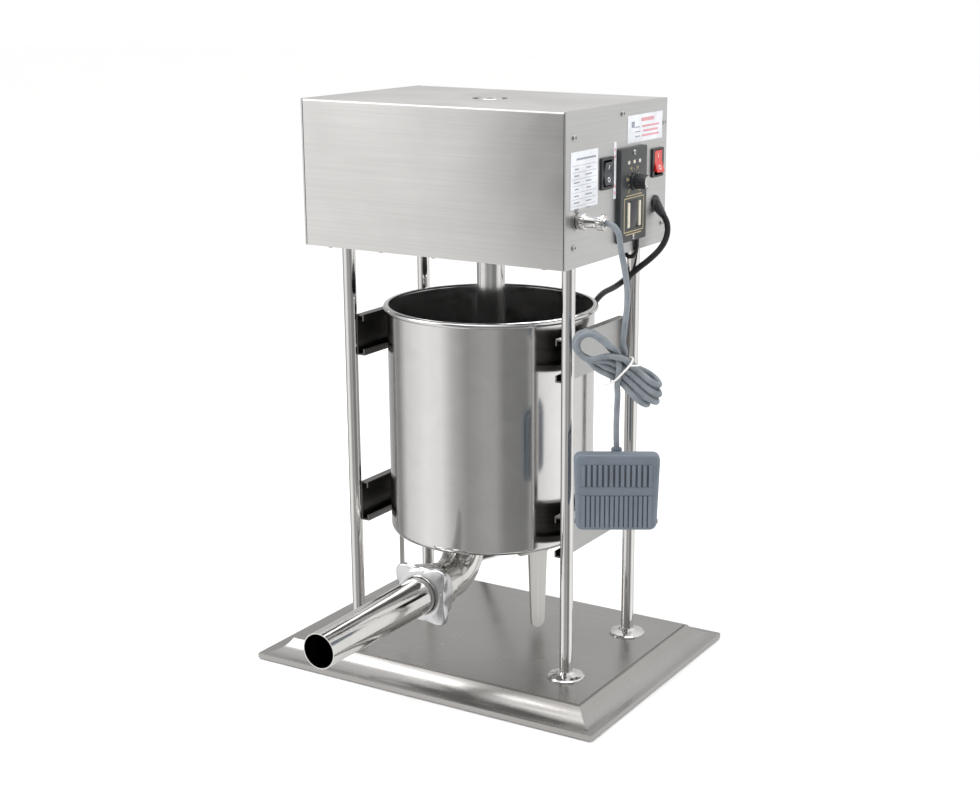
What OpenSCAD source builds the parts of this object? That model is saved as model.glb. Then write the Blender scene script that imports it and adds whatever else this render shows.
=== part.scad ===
// Electric vertical sausage stuffer: a barrel in a four-post frame, under a drive head with a rack-driven piston.
// Frame: origin at the middle of the underside, +X towards the control panel, -Y towards the filling tube, +Z up.

/* [Base] */
// Width of the base at its lip
base_w = 490; // [470:5:520]
// Depth of the base at its lip
base_d = 364; // [350:2:390]
// Height of the raised top of the base
base_h = 26; // [24:1:30]
// Width of the moulded slope round the raised top
base_slope = 36.5; // [32:0.5:40]

/* [Frame] */
// Diameter of the four posts
post_d = 16; // [14:1:18]
// Distance from the middle to the posts, sideways
post_x = 155.5; // [154:0.5:160]
// Distance from the middle to the posts, front to back
post_y = 82; // [78:1:86]
// Height of the barrel rails
rail_h = 52; // [44:1:56]
// Bottom of the lower rails
rail_low_z = 177; // [175:1:190]
// Bottom of the upper rails
rail_high_z = 395; // [370:1:398]

/* [Barrel] */
// Outside diameter of the barrel
barrel_d = 258; // [250:1:258]
// Thickness of the barrel's sheet
barrel_wall = 1.5; // [1.2:0.1:2]
// Height of the barrel's underside above the table
barrel_z = 173.5; // [170:0.5:180]
// Height of the barrel itself
barrel_h = 289.5; // [270:0.5:292]

/* [Outlet] */
// Distance from the middle to the outlet in the barrel's bottom
outlet_y = 65; // [60:1:75]
// Bend radius of the outlet elbow
elbow_r = 42.5; // [40:0.5:46]
// Outside diameter of the elbow's pipe
elbow_d = 50; // [48:1:52]
// Length of the filling tube in front of its flange
tube_len = 210; // [160:5:260]
// Outside diameter of the filling tube at its flange
tube_root_d = 47; // [44:0.5:48]
// Outside diameter of the filling tube at its tip
tube_tip_d = 42.5; // [38:0.5:44]

/* [Piston] */
// Diameter of the piston rod
rod_d = 35; // [33:1:35]
// How far the piston rises
lift = 300; // [250:5:300]
// Thickness of the piston plate
piston_h = 22; // [20:1:24]

/* [Head] */
// Width of the drive head
head_w = 364; // [350:2:380]
// Depth of the drive head
head_d = 253; // [245:1:265]
// Height of the drive head
head_h = 176; // [174:1:190]
// Height of the head's underside above the table
head_z = 537; // [530:1:540]
// How far the head sits to the left of the posts' middle
head_left = 8; // [0:1:10]
// How far the head sits behind the posts' middle
head_back = 3; // [0:1:6]
// Thickness of the head's sheet
sheet = 1.5; // [1.2:0.1:2]

/* [Drive] */
// Module of the rack and its pinion
rack_module = 3; // [3]
// Teeth on the rack pinion
pinion_teeth = 18; // [18]
// Module of the reduction gears
gear_module = 2; // [2]
// Teeth on the large reduction gear
gear_teeth = 54; // [54]
// Teeth on the motor's pinion
motor_teeth = 18; // [18]

/* [Cords] */
// Diameter of the mains lead
mains_d = 7.5; // [7:0.5:8]
// Diameter of the foot switch's cord
foot_d = 7; // [6:0.5:7.5]

/* [Hidden] */
$fn = 64;
eps = 0.01;

// Base and frame
mat_h = 1.5;
lip_h = 6.5;
skin = 1.5;
base_z = mat_h;
cove_r = 30;
core_side = 4;
post_r = post_d / 2;
post_foot = 6;
post_clear = 0.1;
spigot_r = 6;
collar_r = 23;
collar_h = 8;
rail_wall = 2;
rail_deep = 11;
rail_half = 80;
rail_lip = 6;
rail_in = post_x - post_r + 0.8;

// Barrel
barrel_r = barrel_d / 2;
bottom_r = 8;
bead_r = 3.25;
rim_z = barrel_z + barrel_h;
leg_ring = 115;
leg_drop = 101;
lug_y = 14;
lug_half = 20;

// Outlet, all on the elbow's level axis
axis_z = barrel_z - elbow_r;
elbow_wall = 1.5;
elbow_end = outlet_y + elbow_r;
ferrule_start = elbow_end + 20;
ferrule_end = elbow_end + 48.5;
ferrule_r = 28.2;
gasket_h = 1.5;
flange_h = 2.5;
flange_r = 27.6;
tube_wall = 1.2;
tip_straight = 32;
nut_gap = 0.3;
nut_back = ferrule_end - 14;
nut_h = 27;

// Piston, in its lowest place
floor_z = barrel_z + barrel_wall;
piston_z = floor_z + 2;
piston_top = piston_z + piston_h;
piston_r = barrel_r - barrel_wall - 0.9;
piston_chamfer = 3;
seal_r = barrel_r - barrel_wall - 0.3;
seal_in = 120;
seal_z = piston_z + 7;
seal_h = 8;
rod_r = rod_d / 2;
stud_r = 10;
valve_y = 72;
recess_h = 11;

// Head
head_x = -head_left;
head_y = head_back;
head_top = head_z + head_h;
panel = 2;
seam = 1;
side_x = head_x + head_w / 2;
left_x = head_x - head_w / 2;
panel_in = side_x - panel;
deck_h = 8;
deck_z = head_z + sheet;
deck_top = deck_z + deck_h;
rod_hole_r = 21.5;
tab = 24;
tab_h = 2.5;
screw_r = 2;
screw_head_r = 4;

// Drive, its shafts along X
mesh_gap = 0.15;
rack_flat = 14;
rack_pitch_y = rack_flat - rack_module;
shaft_y = rack_pitch_y + rack_module * pinion_teeth / 2 + mesh_gap;
shaft_z = 612;
pinion_w = 20;
shaft_r = 7.5;
bearing_r = 16;
bearing_w = 8;
bearing_x = 22;
gear_x = -48;
gear_w = 14;
centre_gap = gear_module * (gear_teeth + motor_teeth) / 2 + mesh_gap;
motor_y = -24;
motor_z = shaft_z + sqrt(centre_gap ^ 2 - (shaft_y - motor_y) ^ 2);
mesh_angle = atan2(motor_z - shaft_z, motor_y - shaft_y);
motor_side = 90;
motor_face = -58;
bracket_w = 6;
guide_front = -60;
guide_back = 85;
guide_top = 690;
bush_clear = 0.05;

// Controls on the right-hand panel, as [y, z] of their middles
dial_at = [32, 606.5];
dial_size = [68, 111];
dial_h = 6;
knob_at = [32, 622];
knob_r = 9;
knob_h = 18;
direction_at = [-28, 637];
direction_size = [30, 37];
power_at = [103, 637];
power_size = [30, 35];
rocker_turn = 9;
rocker_pin_r = 1.5;
bezel_h = 2.5;
socket_at = [-97.6, 591];
gland_at = [100, 588];
gland_tilt = 50;
gland_len = 20;
screws_at = [[-105, 684], [-105, 561], [11, 702], [120, 684], [120, 561]];
under_screws_x = [-150, -75, 0, 75, 150];
under_screw_y = head_d / 2 - 9;

// Foot switch, hanging with its face turned to the front right
foot_at = [229, -97, 282];
foot_turn = 30;
foot_w = 100;
foot_l = 92;
tray_w = 91;
tray_l = 84;
pivot_z = -37;
pivot_y = -3;
trunnion_r = 3;

// Hank of the foot switch's cord, in the same upright plane as the switch
hank_at = [230, -97, 427];
hank_tilt = 37;
hank_len = 126;
hank_w = 36;
hank_t = 28;

// Coil of the mains lead on the table behind the base
coil_at = [-232, 318];
coil_in = 32;
coil_out = 48;
tail_angle = 80;
plug_z = 9;

// Route of the foot switch's cord down to the hank
foot_route = [
    [212, -97.6, 591], [218, -97.6, 590], [223, -97.6, 587], [227, -97.5, 581],
    [229, -97.4, 572], [232, -97.2, 556], [236, -97, 538], [239, -97, 518],
    [239, -97, 498], [237, -97, 480], [235, -97, 464], [234, -97, 452]
];

// Route of the foot switch's cord from the hank to the switch
drop_route = [
    [229, -97, 401], [228, -96.5, 388], [226.5, -94, 372], [225, -91.5, 356], [224.5, -90, 342],
    [224.5, -89.3, 330]
];

// Route of the mains lead to the coil
mains_route = [
    [186.9, 100, 572.7], [191, 100, 566], [193.5, 98, 556], [193, 94, 545], [189, 87, 534],
    [181, 78, 523], [170, 69, 512], [158, 66, 501], [145, 70, 491], [132, 80, 483],
    [118, 92, 476], [104, 104, 469], [90, 115, 459], [74, 126, 443], [56, 136, 420],
    [36, 146, 388], [14, 154, 348], [-10, 162, 302], [-36, 170, 252], [-62, 178, 200],
    [-88, 186, 150], [-112, 193, 103], [-134, 200, 63], [-154, 208, 33], [-172, 218, 14],
    [-188, 231, 5], [-198, 246, 3.75], [-201, 264, 3.75], [-198, 282, 3.75], [-193, 298, 3.75]
];

// Route of the short lead from the speed control into the head
control_route = [
    [177, 48, 551], [177, 48, 543], [176, 48, 535], [172, 48, 529.5], [166, 48, 528],
    [161, 48, 532], [160, 48, 538.5]
];

// Turns a shape so that its own +Z points along +X, with +X along +Y and +Y along +Z
module along_x(at) {
    translate(at) rotate([90, 0, 90]) children();
}

// Turns a shape so that its own +Z points along -Y
module along_front(at) {
    translate(at) rotate([90, 0, 0]) children();
}

// Repeats a shape at the four posts
module at_posts() {
    for (sx = [-1, 1], sy = [-1, 1]) translate([sx * post_x, sy * post_y, 0]) children();
}

// A flat ring standing on its own origin
module ring(outer, inner, h) {
    difference() {
        cylinder(r = outer, h = h);
        translate([0, 0, -1]) cylinder(r = inner, h = h + 2);
    }
}

// A plate centred on its own origin, with rounded corners
module rounded_plate(size, r) {
    square([size.x - 2 * r, size.y], center = true);
    square([size.x, size.y - 2 * r], center = true);
    for (sx = [-1, 1], sy = [-1, 1]) translate([sx * (size.x / 2 - r), sy * (size.y / 2 - r)]) circle(r);
}

// Unit vector, and a vector square to a direction, kept as level as it can be
function unit(v) = v / norm(v);
function level(d) = unit(cross([0, 0, 1], abs(d.z) > 0.999 ? [1, 0, 0] : d));

// A round cord swept along a route, with one ring of points at each of its points
module cord(route, d, sides = 10) {
    last = len(route) - 1;
    heading = [for (i = [0:last]) unit(route[min(i + 1, last)] - route[max(i - 1, 0)])];
    side = follow(heading, [level(heading[0])], 1);
    points = [
        for (i = [0:last], k = [0:sides - 1])
            let (a = 360 * k / sides, across = cross(heading[i], side[i]))
            route[i] + d / 2 * (cos(a) * side[i] + sin(a) * across)
    ];
    skins = [
        for (i = [0:last - 1], k = [0:sides - 1])
            let (n = (k + 1) % sides)
            for (half = [0, 1])
                half == 0
                    ? [i * sides + k, (i + 1) * sides + k, (i + 1) * sides + n]
                    : [i * sides + k, (i + 1) * sides + n, i * sides + n]
    ];
    ends = [[for (k = [0:sides - 1]) k], [for (k = [0:sides - 1]) last * sides + sides - 1 - k]];
    polyhedron(points, concat(skins, ends), convexity = 6);
}

// Carries one side vector along a list of headings, so that the cord doesn't twist
function follow(heading, made, i) =
    i >= len(heading)
        ? made
        : follow(heading, concat(made, [carried(made[i - 1], heading[i])]), i + 1);
function carried(side, d) = unit(side - d * (side * d));

// Involute gear, its first tooth on the X axis, with a little backlash
function involute(base_r, t) = base_r * [cos(t) + t * PI / 180 * sin(t), sin(t) - t * PI / 180 * cos(t)];
function roll_at(base_r, r) = r <= base_r ? 0 : sqrt((r / base_r) ^ 2 - 1) * 180 / PI;
function turned(p, a) = [p.x * cos(a) - p.y * sin(a), p.x * sin(a) + p.y * cos(a)];
module gear_outline(m, teeth, backlash = 0.15, steps = 5) {
    pitch_r = m * teeth / 2;
    tip_r = pitch_r + m;
    root_r = pitch_r - 1.25 * m;
    base_r = pitch_r * cos(20);
    start_r = max(base_r, root_r);
    at_pitch = involute(base_r, roll_at(base_r, pitch_r));
    half = (PI * m / 2 - backlash) / 2 / pitch_r * 180 / PI + atan2(at_pitch.y, at_pitch.x);
    flank = [
        for (i = [0:steps])
            let (r = start_r + (tip_r - start_r) * i / steps)
            turned(involute(base_r, roll_at(base_r, r)), -half)
    ];
    foot = root_r * unit(flank[0]);
    low_side = concat([foot], flank);
    tooth = concat(low_side, [for (i = [len(low_side) - 1:-1:0]) [low_side[i].x, -low_side[i].y]]);
    polygon([for (k = [0:teeth - 1], p = tooth) turned(p, 360 * k / teeth)]);
}

// ---------------------------------------------------------------- base

// Cross-section of the base across a width: a lip, a cove and the raised top
module base_section(w) {
    half = w / 2;
    cove_top = base_h - 1.5;
    translate([-half, base_z]) square([w, lip_h]);
    difference() {
        union() {
            translate([-half + base_slope, base_z]) square([w - 2 * base_slope, base_h - base_z]);
            translate([-half + 4, base_z]) square([w - 8, cove_top - base_z]);
        }
        for (s = [-1, 1]) {
            translate([s * (half - 6.2), 37.9]) circle(r = cove_r, $fn = 96);
            translate([s * (half - 6.2 + 15) - 15, base_z + lip_h]) square([30, 60]);
        }
    }
}

// Solid under the base's sheet: a board under the raised top and a flat step under the slope
module base_filling(z0) {
    w = base_w - 2 * base_slope - core_side;
    d = base_d - 2 * base_slope - core_side;
    translate([-w / 2, -d / 2, z0]) cube([w, d, base_h - skin - z0]);
    translate([-base_w / 2 + core_side, -base_d / 2 + core_side, z0])
        cube([base_w - 2 * core_side, base_d - 2 * core_side, base_z + lip_h - skin - z0]);
}

module base_skin() {
    color("silver") difference() {
        intersection() {
            along_front([0, base_d, 0]) linear_extrude(2 * base_d) base_section(base_w);
            along_x([-base_w, 0, 0]) linear_extrude(2 * base_w) base_section(base_d);
        }
        base_filling(0);
        at_posts() cylinder(r = post_r + post_clear, h = base_h + 10);
    }
}

module base_core() {
    color("sienna") difference() {
        base_filling(base_z);
        at_posts() translate([0, 0, post_foot]) cylinder(r = post_r + post_clear, h = base_h);
    }
}

module anti_slip_mat() {
    color("dimgray") translate([0, 0, mat_h / 2])
        cube([base_w - 2 * core_side, base_d - 2 * core_side, mat_h], center = true);
}

// ---------------------------------------------------------------- posts and rails

module post(sx, sy) {
    color("gainsboro") translate([sx * post_x, sy * post_y, 0]) {
        translate([0, 0, post_foot]) cylinder(r = post_r, h = deck_z - post_foot);
        translate([0, 0, deck_z]) cylinder(r = spigot_r, h = deck_h + 12);
    }
}

module post_collars() {
    inner = post_r + post_clear;
    color("silver") at_posts() translate([0, 0, base_h]) rotate_extrude($fn = 96) polygon([
        [inner, 0], [collar_r, 0], [collar_r, 1.2], [collar_r - 1.5, 2.6], [collar_r - 6, 4],
        [inner + 3.5, 5.2], [inner + 1.5, collar_h], [inner, collar_h]
    ]);
}

module post_nuts() {
    color("darkgray") at_posts() translate([0, 0, deck_top]) difference() {
        cylinder(r = 11, h = 9, $fn = 6);
        translate([0, 0, -1]) cylinder(r = spigot_r + 0.05, h = 12, $fn = 48);
    }
}

// A lipped channel between a front and a back post, open towards the barrel; side is -1 or 1
module rail(side, z) {
    color("gray") difference() {
        along_front([0, rail_half, z]) linear_extrude(2 * rail_half) scale([side, 1]) difference() {
            translate([rail_in - rail_deep, 0]) square([rail_deep, rail_h]);
            translate([rail_in - rail_deep + rail_wall, rail_wall])
                square([rail_deep - 2 * rail_wall, rail_h - 2 * rail_wall]);
            translate([rail_in - rail_deep - 1, rail_wall + rail_lip])
                square([rail_wall + 2, rail_h - 2 * (rail_wall + rail_lip)]);
        }
        at_posts() translate([0, 0, z - 1]) cylinder(r = post_r, h = rail_h + 2);
    }
}

// ---------------------------------------------------------------- barrel

// Half cross-section of a cup with a rounded bottom corner
module cup_section(r, corner, z) {
    translate([0, z + corner]) square([r, 400]);
    translate([0, z]) square([r - corner, corner + eps]);
    translate([r - corner, z + corner]) intersection() {
        circle(corner);
        translate([0, -corner]) square(corner);
    }
}

module barrel() {
    color("gainsboro") difference() {
        rotate_extrude($fn = 180) {
            difference() {
                cup_section(barrel_r, bottom_r, barrel_z);
                cup_section(barrel_r - barrel_wall, bottom_r - barrel_wall, floor_z);
                translate([0, rim_z]) square([barrel_r + 10, 400]);
            }
            translate([barrel_r + bead_r / 2, rim_z - bead_r]) circle(bead_r, $fn = 32);
        }
        translate([0, -outlet_y, barrel_z - 5]) cylinder(r = elbow_d / 2 - elbow_wall, h = 10);
    }
}

// Three tapered feet under the rim of the barrel's bottom, each with its welding pad
module barrel_legs() {
    color("silver") for (a = [-30, 90, 210]) rotate([0, 0, a]) translate([leg_ring, 0, barrel_z]) {
        translate([-10, -26, -3]) cube([15, 40, 3]);
        rotate([90, 0, 90]) linear_extrude(4) {
            polygon([[-12.5, -3], [12.5, -3], [9, -leg_drop + 8], [-9, -leg_drop + 8]]);
            translate([0, -leg_drop + 9]) circle(9.05);
        }
    }
}

// Four T-shaped lugs that carry the barrel in its rails
module barrel_lugs() {
    neck = 30;
    head = rail_h - 2 * rail_wall - 2;
    lip_x = rail_in - rail_deep + rail_wall;
    color("silver") for (sx = [-1, 1], z = [rail_low_z, rail_high_z]) difference() {
        translate([0, lug_y, z + rail_h / 2]) scale([sx, 1, 1]) {
            translate([barrel_r - 8, -lug_half, -neck / 2]) cube([lip_x - barrel_r + 8.5, 2 * lug_half, neck]);
            translate([lip_x + 0.5, -lug_half, -head / 2 - 1]) cube([5, 2 * lug_half, head]);
        }
        cylinder(r = barrel_r, h = 600, $fn = 180);
    }
}

// ---------------------------------------------------------------- outlet

module outlet_elbow() {
    pipe_r = elbow_d / 2;
    bore_r = pipe_r - elbow_wall;
    color("silver") {
        translate([0, -elbow_end, barrel_z]) rotate([-90, 0, 90]) rotate_extrude(angle = 90, $fn = 96)
            translate([elbow_r, 0]) difference() {
                circle(pipe_r);
                circle(bore_r);
            }
        along_front([0, -elbow_end, axis_z]) {
            ring(pipe_r, bore_r, ferrule_start - elbow_end + 1);
            translate([0, 0, ferrule_start - elbow_end]) ring(ferrule_r, bore_r, ferrule_end - ferrule_start);
        }
    }
}

module nozzle_gasket() {
    color("white") along_front([0, -ferrule_end, axis_z])
        ring(flange_r, elbow_d / 2 - elbow_wall, gasket_h);
}

module filling_tube() {
    root = tube_root_d / 2;
    tip = tube_tip_d / 2;
    bend = flange_h + tube_len - tip_straight;
    end = flange_h + tube_len;
    color("gainsboro") along_front([0, -ferrule_end - gasket_h, axis_z]) rotate_extrude($fn = 96) polygon([
        [root - tube_wall, 0], [flange_r, 0], [flange_r, flange_h], [root, flange_h],
        [tip, bend], [tip, end], [tip - tube_wall, end], [tip - tube_wall, bend]
    ]);
}

// Outline of the nut: a square with round lobes at its corners and hollow sides
module nut_outline() {
    lobe = 10;
    difference() {
        rounded_plate([71, 71], lobe);
        for (a = [0:90:270]) rotate(a) translate([78, 0]) circle(r = 45, $fn = 96);
    }
}

module wing_nut() {
    lip_front = ferrule_end + gasket_h + flange_h + nut_gap;
    color("silver") difference() {
        along_front([0, -nut_back, axis_z]) {
            linear_extrude(nut_h) nut_outline();
            translate([0, 0, -2]) cylinder(r = 32.5, h = nut_h + 3.5);
        }
        along_front([0, -nut_back + 10, axis_z]) cylinder(r = ferrule_r + nut_gap, h = lip_front - nut_back + 10);
        along_front([0, 0, axis_z]) cylinder(r = tube_root_d / 2 + 0.5, h = 300);
    }
}

// ---------------------------------------------------------------- piston

module piston_plate() {
    color("lightgray") difference() {
        union() {
            translate([0, 0, piston_z]) cylinder(r1 = piston_r - 2.5, r2 = piston_r, h = piston_chamfer, $fn = 180);
            translate([0, 0, piston_z + piston_chamfer])
                cylinder(r = piston_r, h = piston_h - piston_chamfer, $fn = 180);
        }
        translate([0, 0, seal_z]) difference() {
            cylinder(r = piston_r + 2, h = seal_h);
            translate([0, 0, -1]) cylinder(r = seal_in, h = seal_h + 2);
        }
        translate([0, 0, piston_z - 1]) cylinder(r = 24, h = recess_h + 1);
        cylinder(r = stud_r + bush_clear, h = 400);
        translate([0, valve_y, piston_z - 1]) cylinder(r = 10, h = 9);
        translate([0, valve_y, 0]) cylinder(r = 4.3, h = 400);
    }
}

module piston_seal() {
    color("white") translate([0, 0, seal_z]) ring(seal_r, seal_in, seal_h, $fn = 180);
}

// Round rod with a rack milled into its back, a threaded end and a chamfered top with a lifting hole
module piston_rod() {
    pitch = PI * rack_module;
    travel = lift + 4 * pitch;
    first = -ceil(travel / pitch);
    thick = pitch / 2 - 0.1;
    rise = rack_module * tan(20);
    root_y = rack_flat - 2.25 * rack_module;
    drop = 1.25 * rack_module * tan(20);
    chamfer = 3;
    color("gainsboro") difference() {
        union() {
            translate([0, 0, piston_top]) cylinder(r = rod_r, h = head_top - piston_top - chamfer);
            translate([0, 0, head_top - chamfer]) cylinder(r1 = rod_r, r2 = rod_r - chamfer, h = chamfer);
            translate([0, 0, piston_z + 1]) cylinder(r = stud_r, h = piston_h);
        }
        translate([0, 0, head_top - 25]) cylinder(r = 4.25, h = 26);
        translate([-rod_r - 1, 0, 0]) rotate([90, 0, 90]) linear_extrude(rod_d + 2) difference() {
            translate([root_y, shaft_z + first * pitch - pitch / 2])
                square([rod_d, -first * pitch + 4 * pitch]);
            for (k = [first:3]) translate([0, shaft_z + (k + 0.5) * pitch]) polygon([
                [root_y - 1, -thick / 2 - drop], [rack_pitch_y, -thick / 2], [rack_flat, -thick / 2 + rise],
                [rack_flat, thick / 2 - rise], [rack_pitch_y, thick / 2], [root_y - 1, thick / 2 + drop]
            ]);
        }
    }
}

module piston_nut() {
    color("darkgray") translate([0, 0, piston_z + recess_h - 8]) difference() {
        cylinder(r = 17.3, h = 8, $fn = 6);
        translate([0, 0, -1]) cylinder(r = stud_r + bush_clear, h = 10, $fn = 48);
    }
}

// Poppet that lets trapped air out as the piston comes down
module air_valve() {
    color("goldenrod") translate([0, valve_y, 0]) {
        translate([0, 0, piston_top]) cylinder(r = 12, h = 4);
        translate([0, 0, piston_top + 4]) cylinder(r1 = 12, r2 = 6, h = 3);
        translate([0, 0, piston_z + 3]) cylinder(r = 4, h = piston_top - piston_z - 2);
        translate([0, 0, piston_z + 1.5]) cylinder(r = 7, h = 2);
    }
}

// ---------------------------------------------------------------- head

// Holes for the five screws of a side panel
module panel_screw_holes() {
    for (at = screws_at) along_x([-300, at.x, at.y]) cylinder(r = screw_r + 0.05, h = 600, $fn = 24);
}

module under_screw_holes() {
    for (x = under_screws_x, s = [-1, 1])
        translate([x + head_x, head_y + s * under_screw_y, head_z - 1])
            cylinder(r = screw_r + 0.05, h = 9, $fn = 24);
}

// One folded sheet: front, top and back, with turned-in bottom edges and screw tabs
module head_cover() {
    half = head_d / 2;
    bend = 2.5;
    ends = head_w / 2 - panel - seam;
    color("whitesmoke") difference() {
        translate([head_x, head_y, head_z]) {
            rotate([90, 0, 90]) translate([0, 0, -ends]) linear_extrude(2 * ends) difference() {
                union() {
                    translate([-half, 0]) square([head_d, head_h - bend]);
                    translate([-half + bend, 0]) square([head_d - 2 * bend, head_h]);
                    for (s = [-1, 1]) translate([s * (half - bend), head_h - bend]) circle(bend);
                }
                translate([-half + sheet, sheet]) square([head_d - 2 * sheet, head_h - 2 * sheet]);
                translate([-half + 18, -1]) square([head_d - 36, 20]);
            }
            for (sx = [-1, 1], at = screws_at) scale([sx, 1, 1]) screw_tab(at, ends);
        }
        translate([0, 0, head_top - 10]) cylinder(r = rod_hole_r, h = 20, $fn = 96);
        panel_screw_holes();
        under_screw_holes();
    }
}

// A tab folded in from the cover's edge behind a panel screw
module screw_tab(at, ends) {
    y = at.x - head_y;
    z = at.y - head_z;
    reach = head_d / 2 - sheet / 2;
    y_low = y < -50 ? -reach : y - tab / 2;
    y_high = y > 50 ? reach : y + (y < -50 ? 10 : tab / 2);
    z_high = y > -50 && y < 50 ? head_h - sheet / 2 : z + tab / 2;
    x0 = ends + seam - tab_h;
    translate([x0, y_low, z - tab / 2]) cube([tab_h, y_high - y_low, z_high - z + tab / 2]);
}

module side_panel(x) {
    translate([x, head_y - head_d / 2, head_z]) cube([panel, head_d, head_h]);
}

module right_panel() {
    color("lightgray") difference() {
        side_panel(panel_in);
        panel_screw_holes();
        along_x([panel_in - 1, dial_at.x, dial_at.y]) linear_extrude(5)
            square([dial_size.x - 10, dial_size.y - 10], center = true);
        for (at = [direction_at, power_at]) along_x([panel_in - 1, at.x, at.y]) linear_extrude(5)
            square([25, 33], center = true);
        along_x([panel_in - 1, socket_at.x, socket_at.y]) cylinder(r = 8.1, h = 5);
        along_x([panel_in - 1, gland_at.x, gland_at.y]) cylinder(r = 6.1, h = 5);
    }
}

module left_panel() {
    color("lightgray") difference() {
        side_panel(left_x);
        panel_screw_holes();
    }
}

module screw() {
    translate([0, 0, -5]) cylinder(r = screw_r, h = 5.5, $fn = 24);
    rotate_extrude($fn = 32) polygon([
        [0, 0], [screw_head_r, 0], [screw_head_r, 0.8], [screw_head_r - 1, 1.9], [1.6, 2.4], [0, 2.4]
    ]);
}

module panel_screws() {
    color("silver") {
        for (at = screws_at) {
            translate([side_x, at.x, at.y]) rotate([0, 90, 0]) screw();
            translate([left_x, at.x, at.y]) rotate([0, -90, 0]) screw();
        }
        for (x = under_screws_x, s = [-1, 1])
            translate([x + head_x, head_y + s * under_screw_y, head_z]) rotate([180, 0, 0]) screw();
    }
}

module deck_plate() {
    w = head_w - 2 * panel - 1;
    d = head_d - 2 * sheet - 1;
    color("slategray") difference() {
        translate([head_x - w / 2, head_y - d / 2, deck_z]) cube([w, d, deck_h]);
        at_posts() translate([0, 0, deck_z - 1]) cylinder(r = spigot_r + post_clear, h = deck_h + 2);
        translate([0, 0, deck_z - 1]) cylinder(r = rod_hole_r, h = deck_h + 2);
        translate([160, 48, deck_z - 1]) cylinder(r = 4, h = deck_h + 2);
        under_screw_holes();
    }
}

module rod_bush() {
    color("peru") translate([0, 0, deck_z - 6]) difference() {
        union() {
            cylinder(r = 35, h = 6);
            cylinder(r = rod_hole_r, h = 39);
        }
        translate([0, 0, -1]) cylinder(r = rod_r + bush_clear, h = 60);
    }
}

module upper_guide() {
    color("slategray") difference() {
        translate([-bearing_x - bearing_w, guide_front, guide_top])
            cube([2 * (bearing_x + bearing_w), guide_back - guide_front, 10]);
        translate([0, 0, guide_top - 1]) cylinder(r = rod_r + bush_clear, h = 12);
    }
}

module bearing_plate(x) {
    color("slategray") difference() {
        translate([x, guide_front, deck_top])
            cube([bearing_w, guide_back - guide_front, guide_top - deck_top]);
        along_x([x - 1, shaft_y, shaft_z]) cylinder(r = bearing_r, h = bearing_w + 2);
    }
}

module shaft_bearings() {
    color("silver") for (x = [bearing_x, -bearing_x - bearing_w]) along_x([x, shaft_y, shaft_z])
        difference() {
            ring(bearing_r, shaft_r + bush_clear, bearing_w);
            for (z = [-1, bearing_w - 1]) translate([0, 0, z]) ring(13.4, 10.4, 2);
        }
}

// ---------------------------------------------------------------- drive

module drive_shaft() {
    color("silver") along_x([gear_x - 4, shaft_y, shaft_z])
        cylinder(r = shaft_r, h = bearing_x + bearing_w + 2 - gear_x + 4);
}

module rack_pinion() {
    color("dimgray") difference() {
        along_x([-pinion_w / 2, shaft_y, shaft_z]) {
            linear_extrude(pinion_w) rotate(180) gear_outline(rack_module, pinion_teeth);
            translate([0, 0, -10]) cylinder(r = 13, h = pinion_w + 20);
        }
        along_x([-40, shaft_y, shaft_z]) cylinder(r = shaft_r, h = 80);
    }
}

module drive_gear() {
    color("dimgray") difference() {
        along_x([gear_x, shaft_y, shaft_z]) {
            linear_extrude(gear_w) rotate(mesh_angle) gear_outline(gear_module, gear_teeth);
            cylinder(r = 14, h = gear_w + 3);
        }
        along_x([gear_x - 1, shaft_y, shaft_z]) {
            cylinder(r = shaft_r, h = gear_w + 6);
            for (a = [0:72:288]) rotate(a) translate([31, 0, 0]) cylinder(r = 9, h = gear_w + 6);
        }
    }
}

module motor_pinion() {
    color("darkgray") along_x([gear_x - 1, motor_y, motor_z]) {
        linear_extrude(gear_w + 2) rotate(mesh_angle + 180 + 180 / motor_teeth)
            gear_outline(gear_module, motor_teeth);
        translate([0, 0, motor_face - gear_x + 1.3]) cylinder(r = 6, h = gear_x - motor_face + gear_w + 3);
    }
}

module motor_bracket() {
    half = motor_side / 2 + 3;
    color("slategray") difference() {
        union() {
            translate([motor_face, motor_y - half, deck_top])
                cube([bracket_w, 2 * half, motor_z + motor_side / 2 - deck_top]);
            translate([motor_face - 30, motor_y - half, deck_top]) cube([32, 2 * half, bracket_w]);
        }
        along_x([motor_face - 1, motor_y, motor_z]) cylinder(r = 20, h = bracket_w + 2);
    }
}

// Square gearhead and finned motor on one axis
module gear_motor() {
    head_len = 45;
    motor_len = 75;
    color("darkslategray") along_x([motor_face, motor_y, motor_z]) {
        translate([0, 0, -head_len]) linear_extrude(head_len) rounded_plate([motor_side, motor_side], 8);
        translate([0, 0, -head_len - motor_len]) difference() {
            linear_extrude(motor_len + eps) rounded_plate([motor_side - 2, motor_side - 2], 10);
            for (z = [8:10:58]) translate([0, 0, z]) difference() {
                cylinder(r = motor_side, h = 5);
                translate([0, 0, -1]) cylinder(r = motor_side / 2 - 4, h = 7);
            }
        }
    }
}

// ---------------------------------------------------------------- controls

module speed_controller() {
    color("black") difference() {
        along_x([0, dial_at.x, dial_at.y]) {
            translate([0, 0, side_x]) linear_extrude(dial_h) rounded_plate(dial_size, 2);
            translate([0, 0, side_x - 52]) linear_extrude(52)
                square([dial_size.x - 12, dial_size.y - 12], center = true);
        }
        along_x([side_x - 3, knob_at.x, knob_at.y]) cylinder(r = 3.3, h = 20);
    }
}

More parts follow.
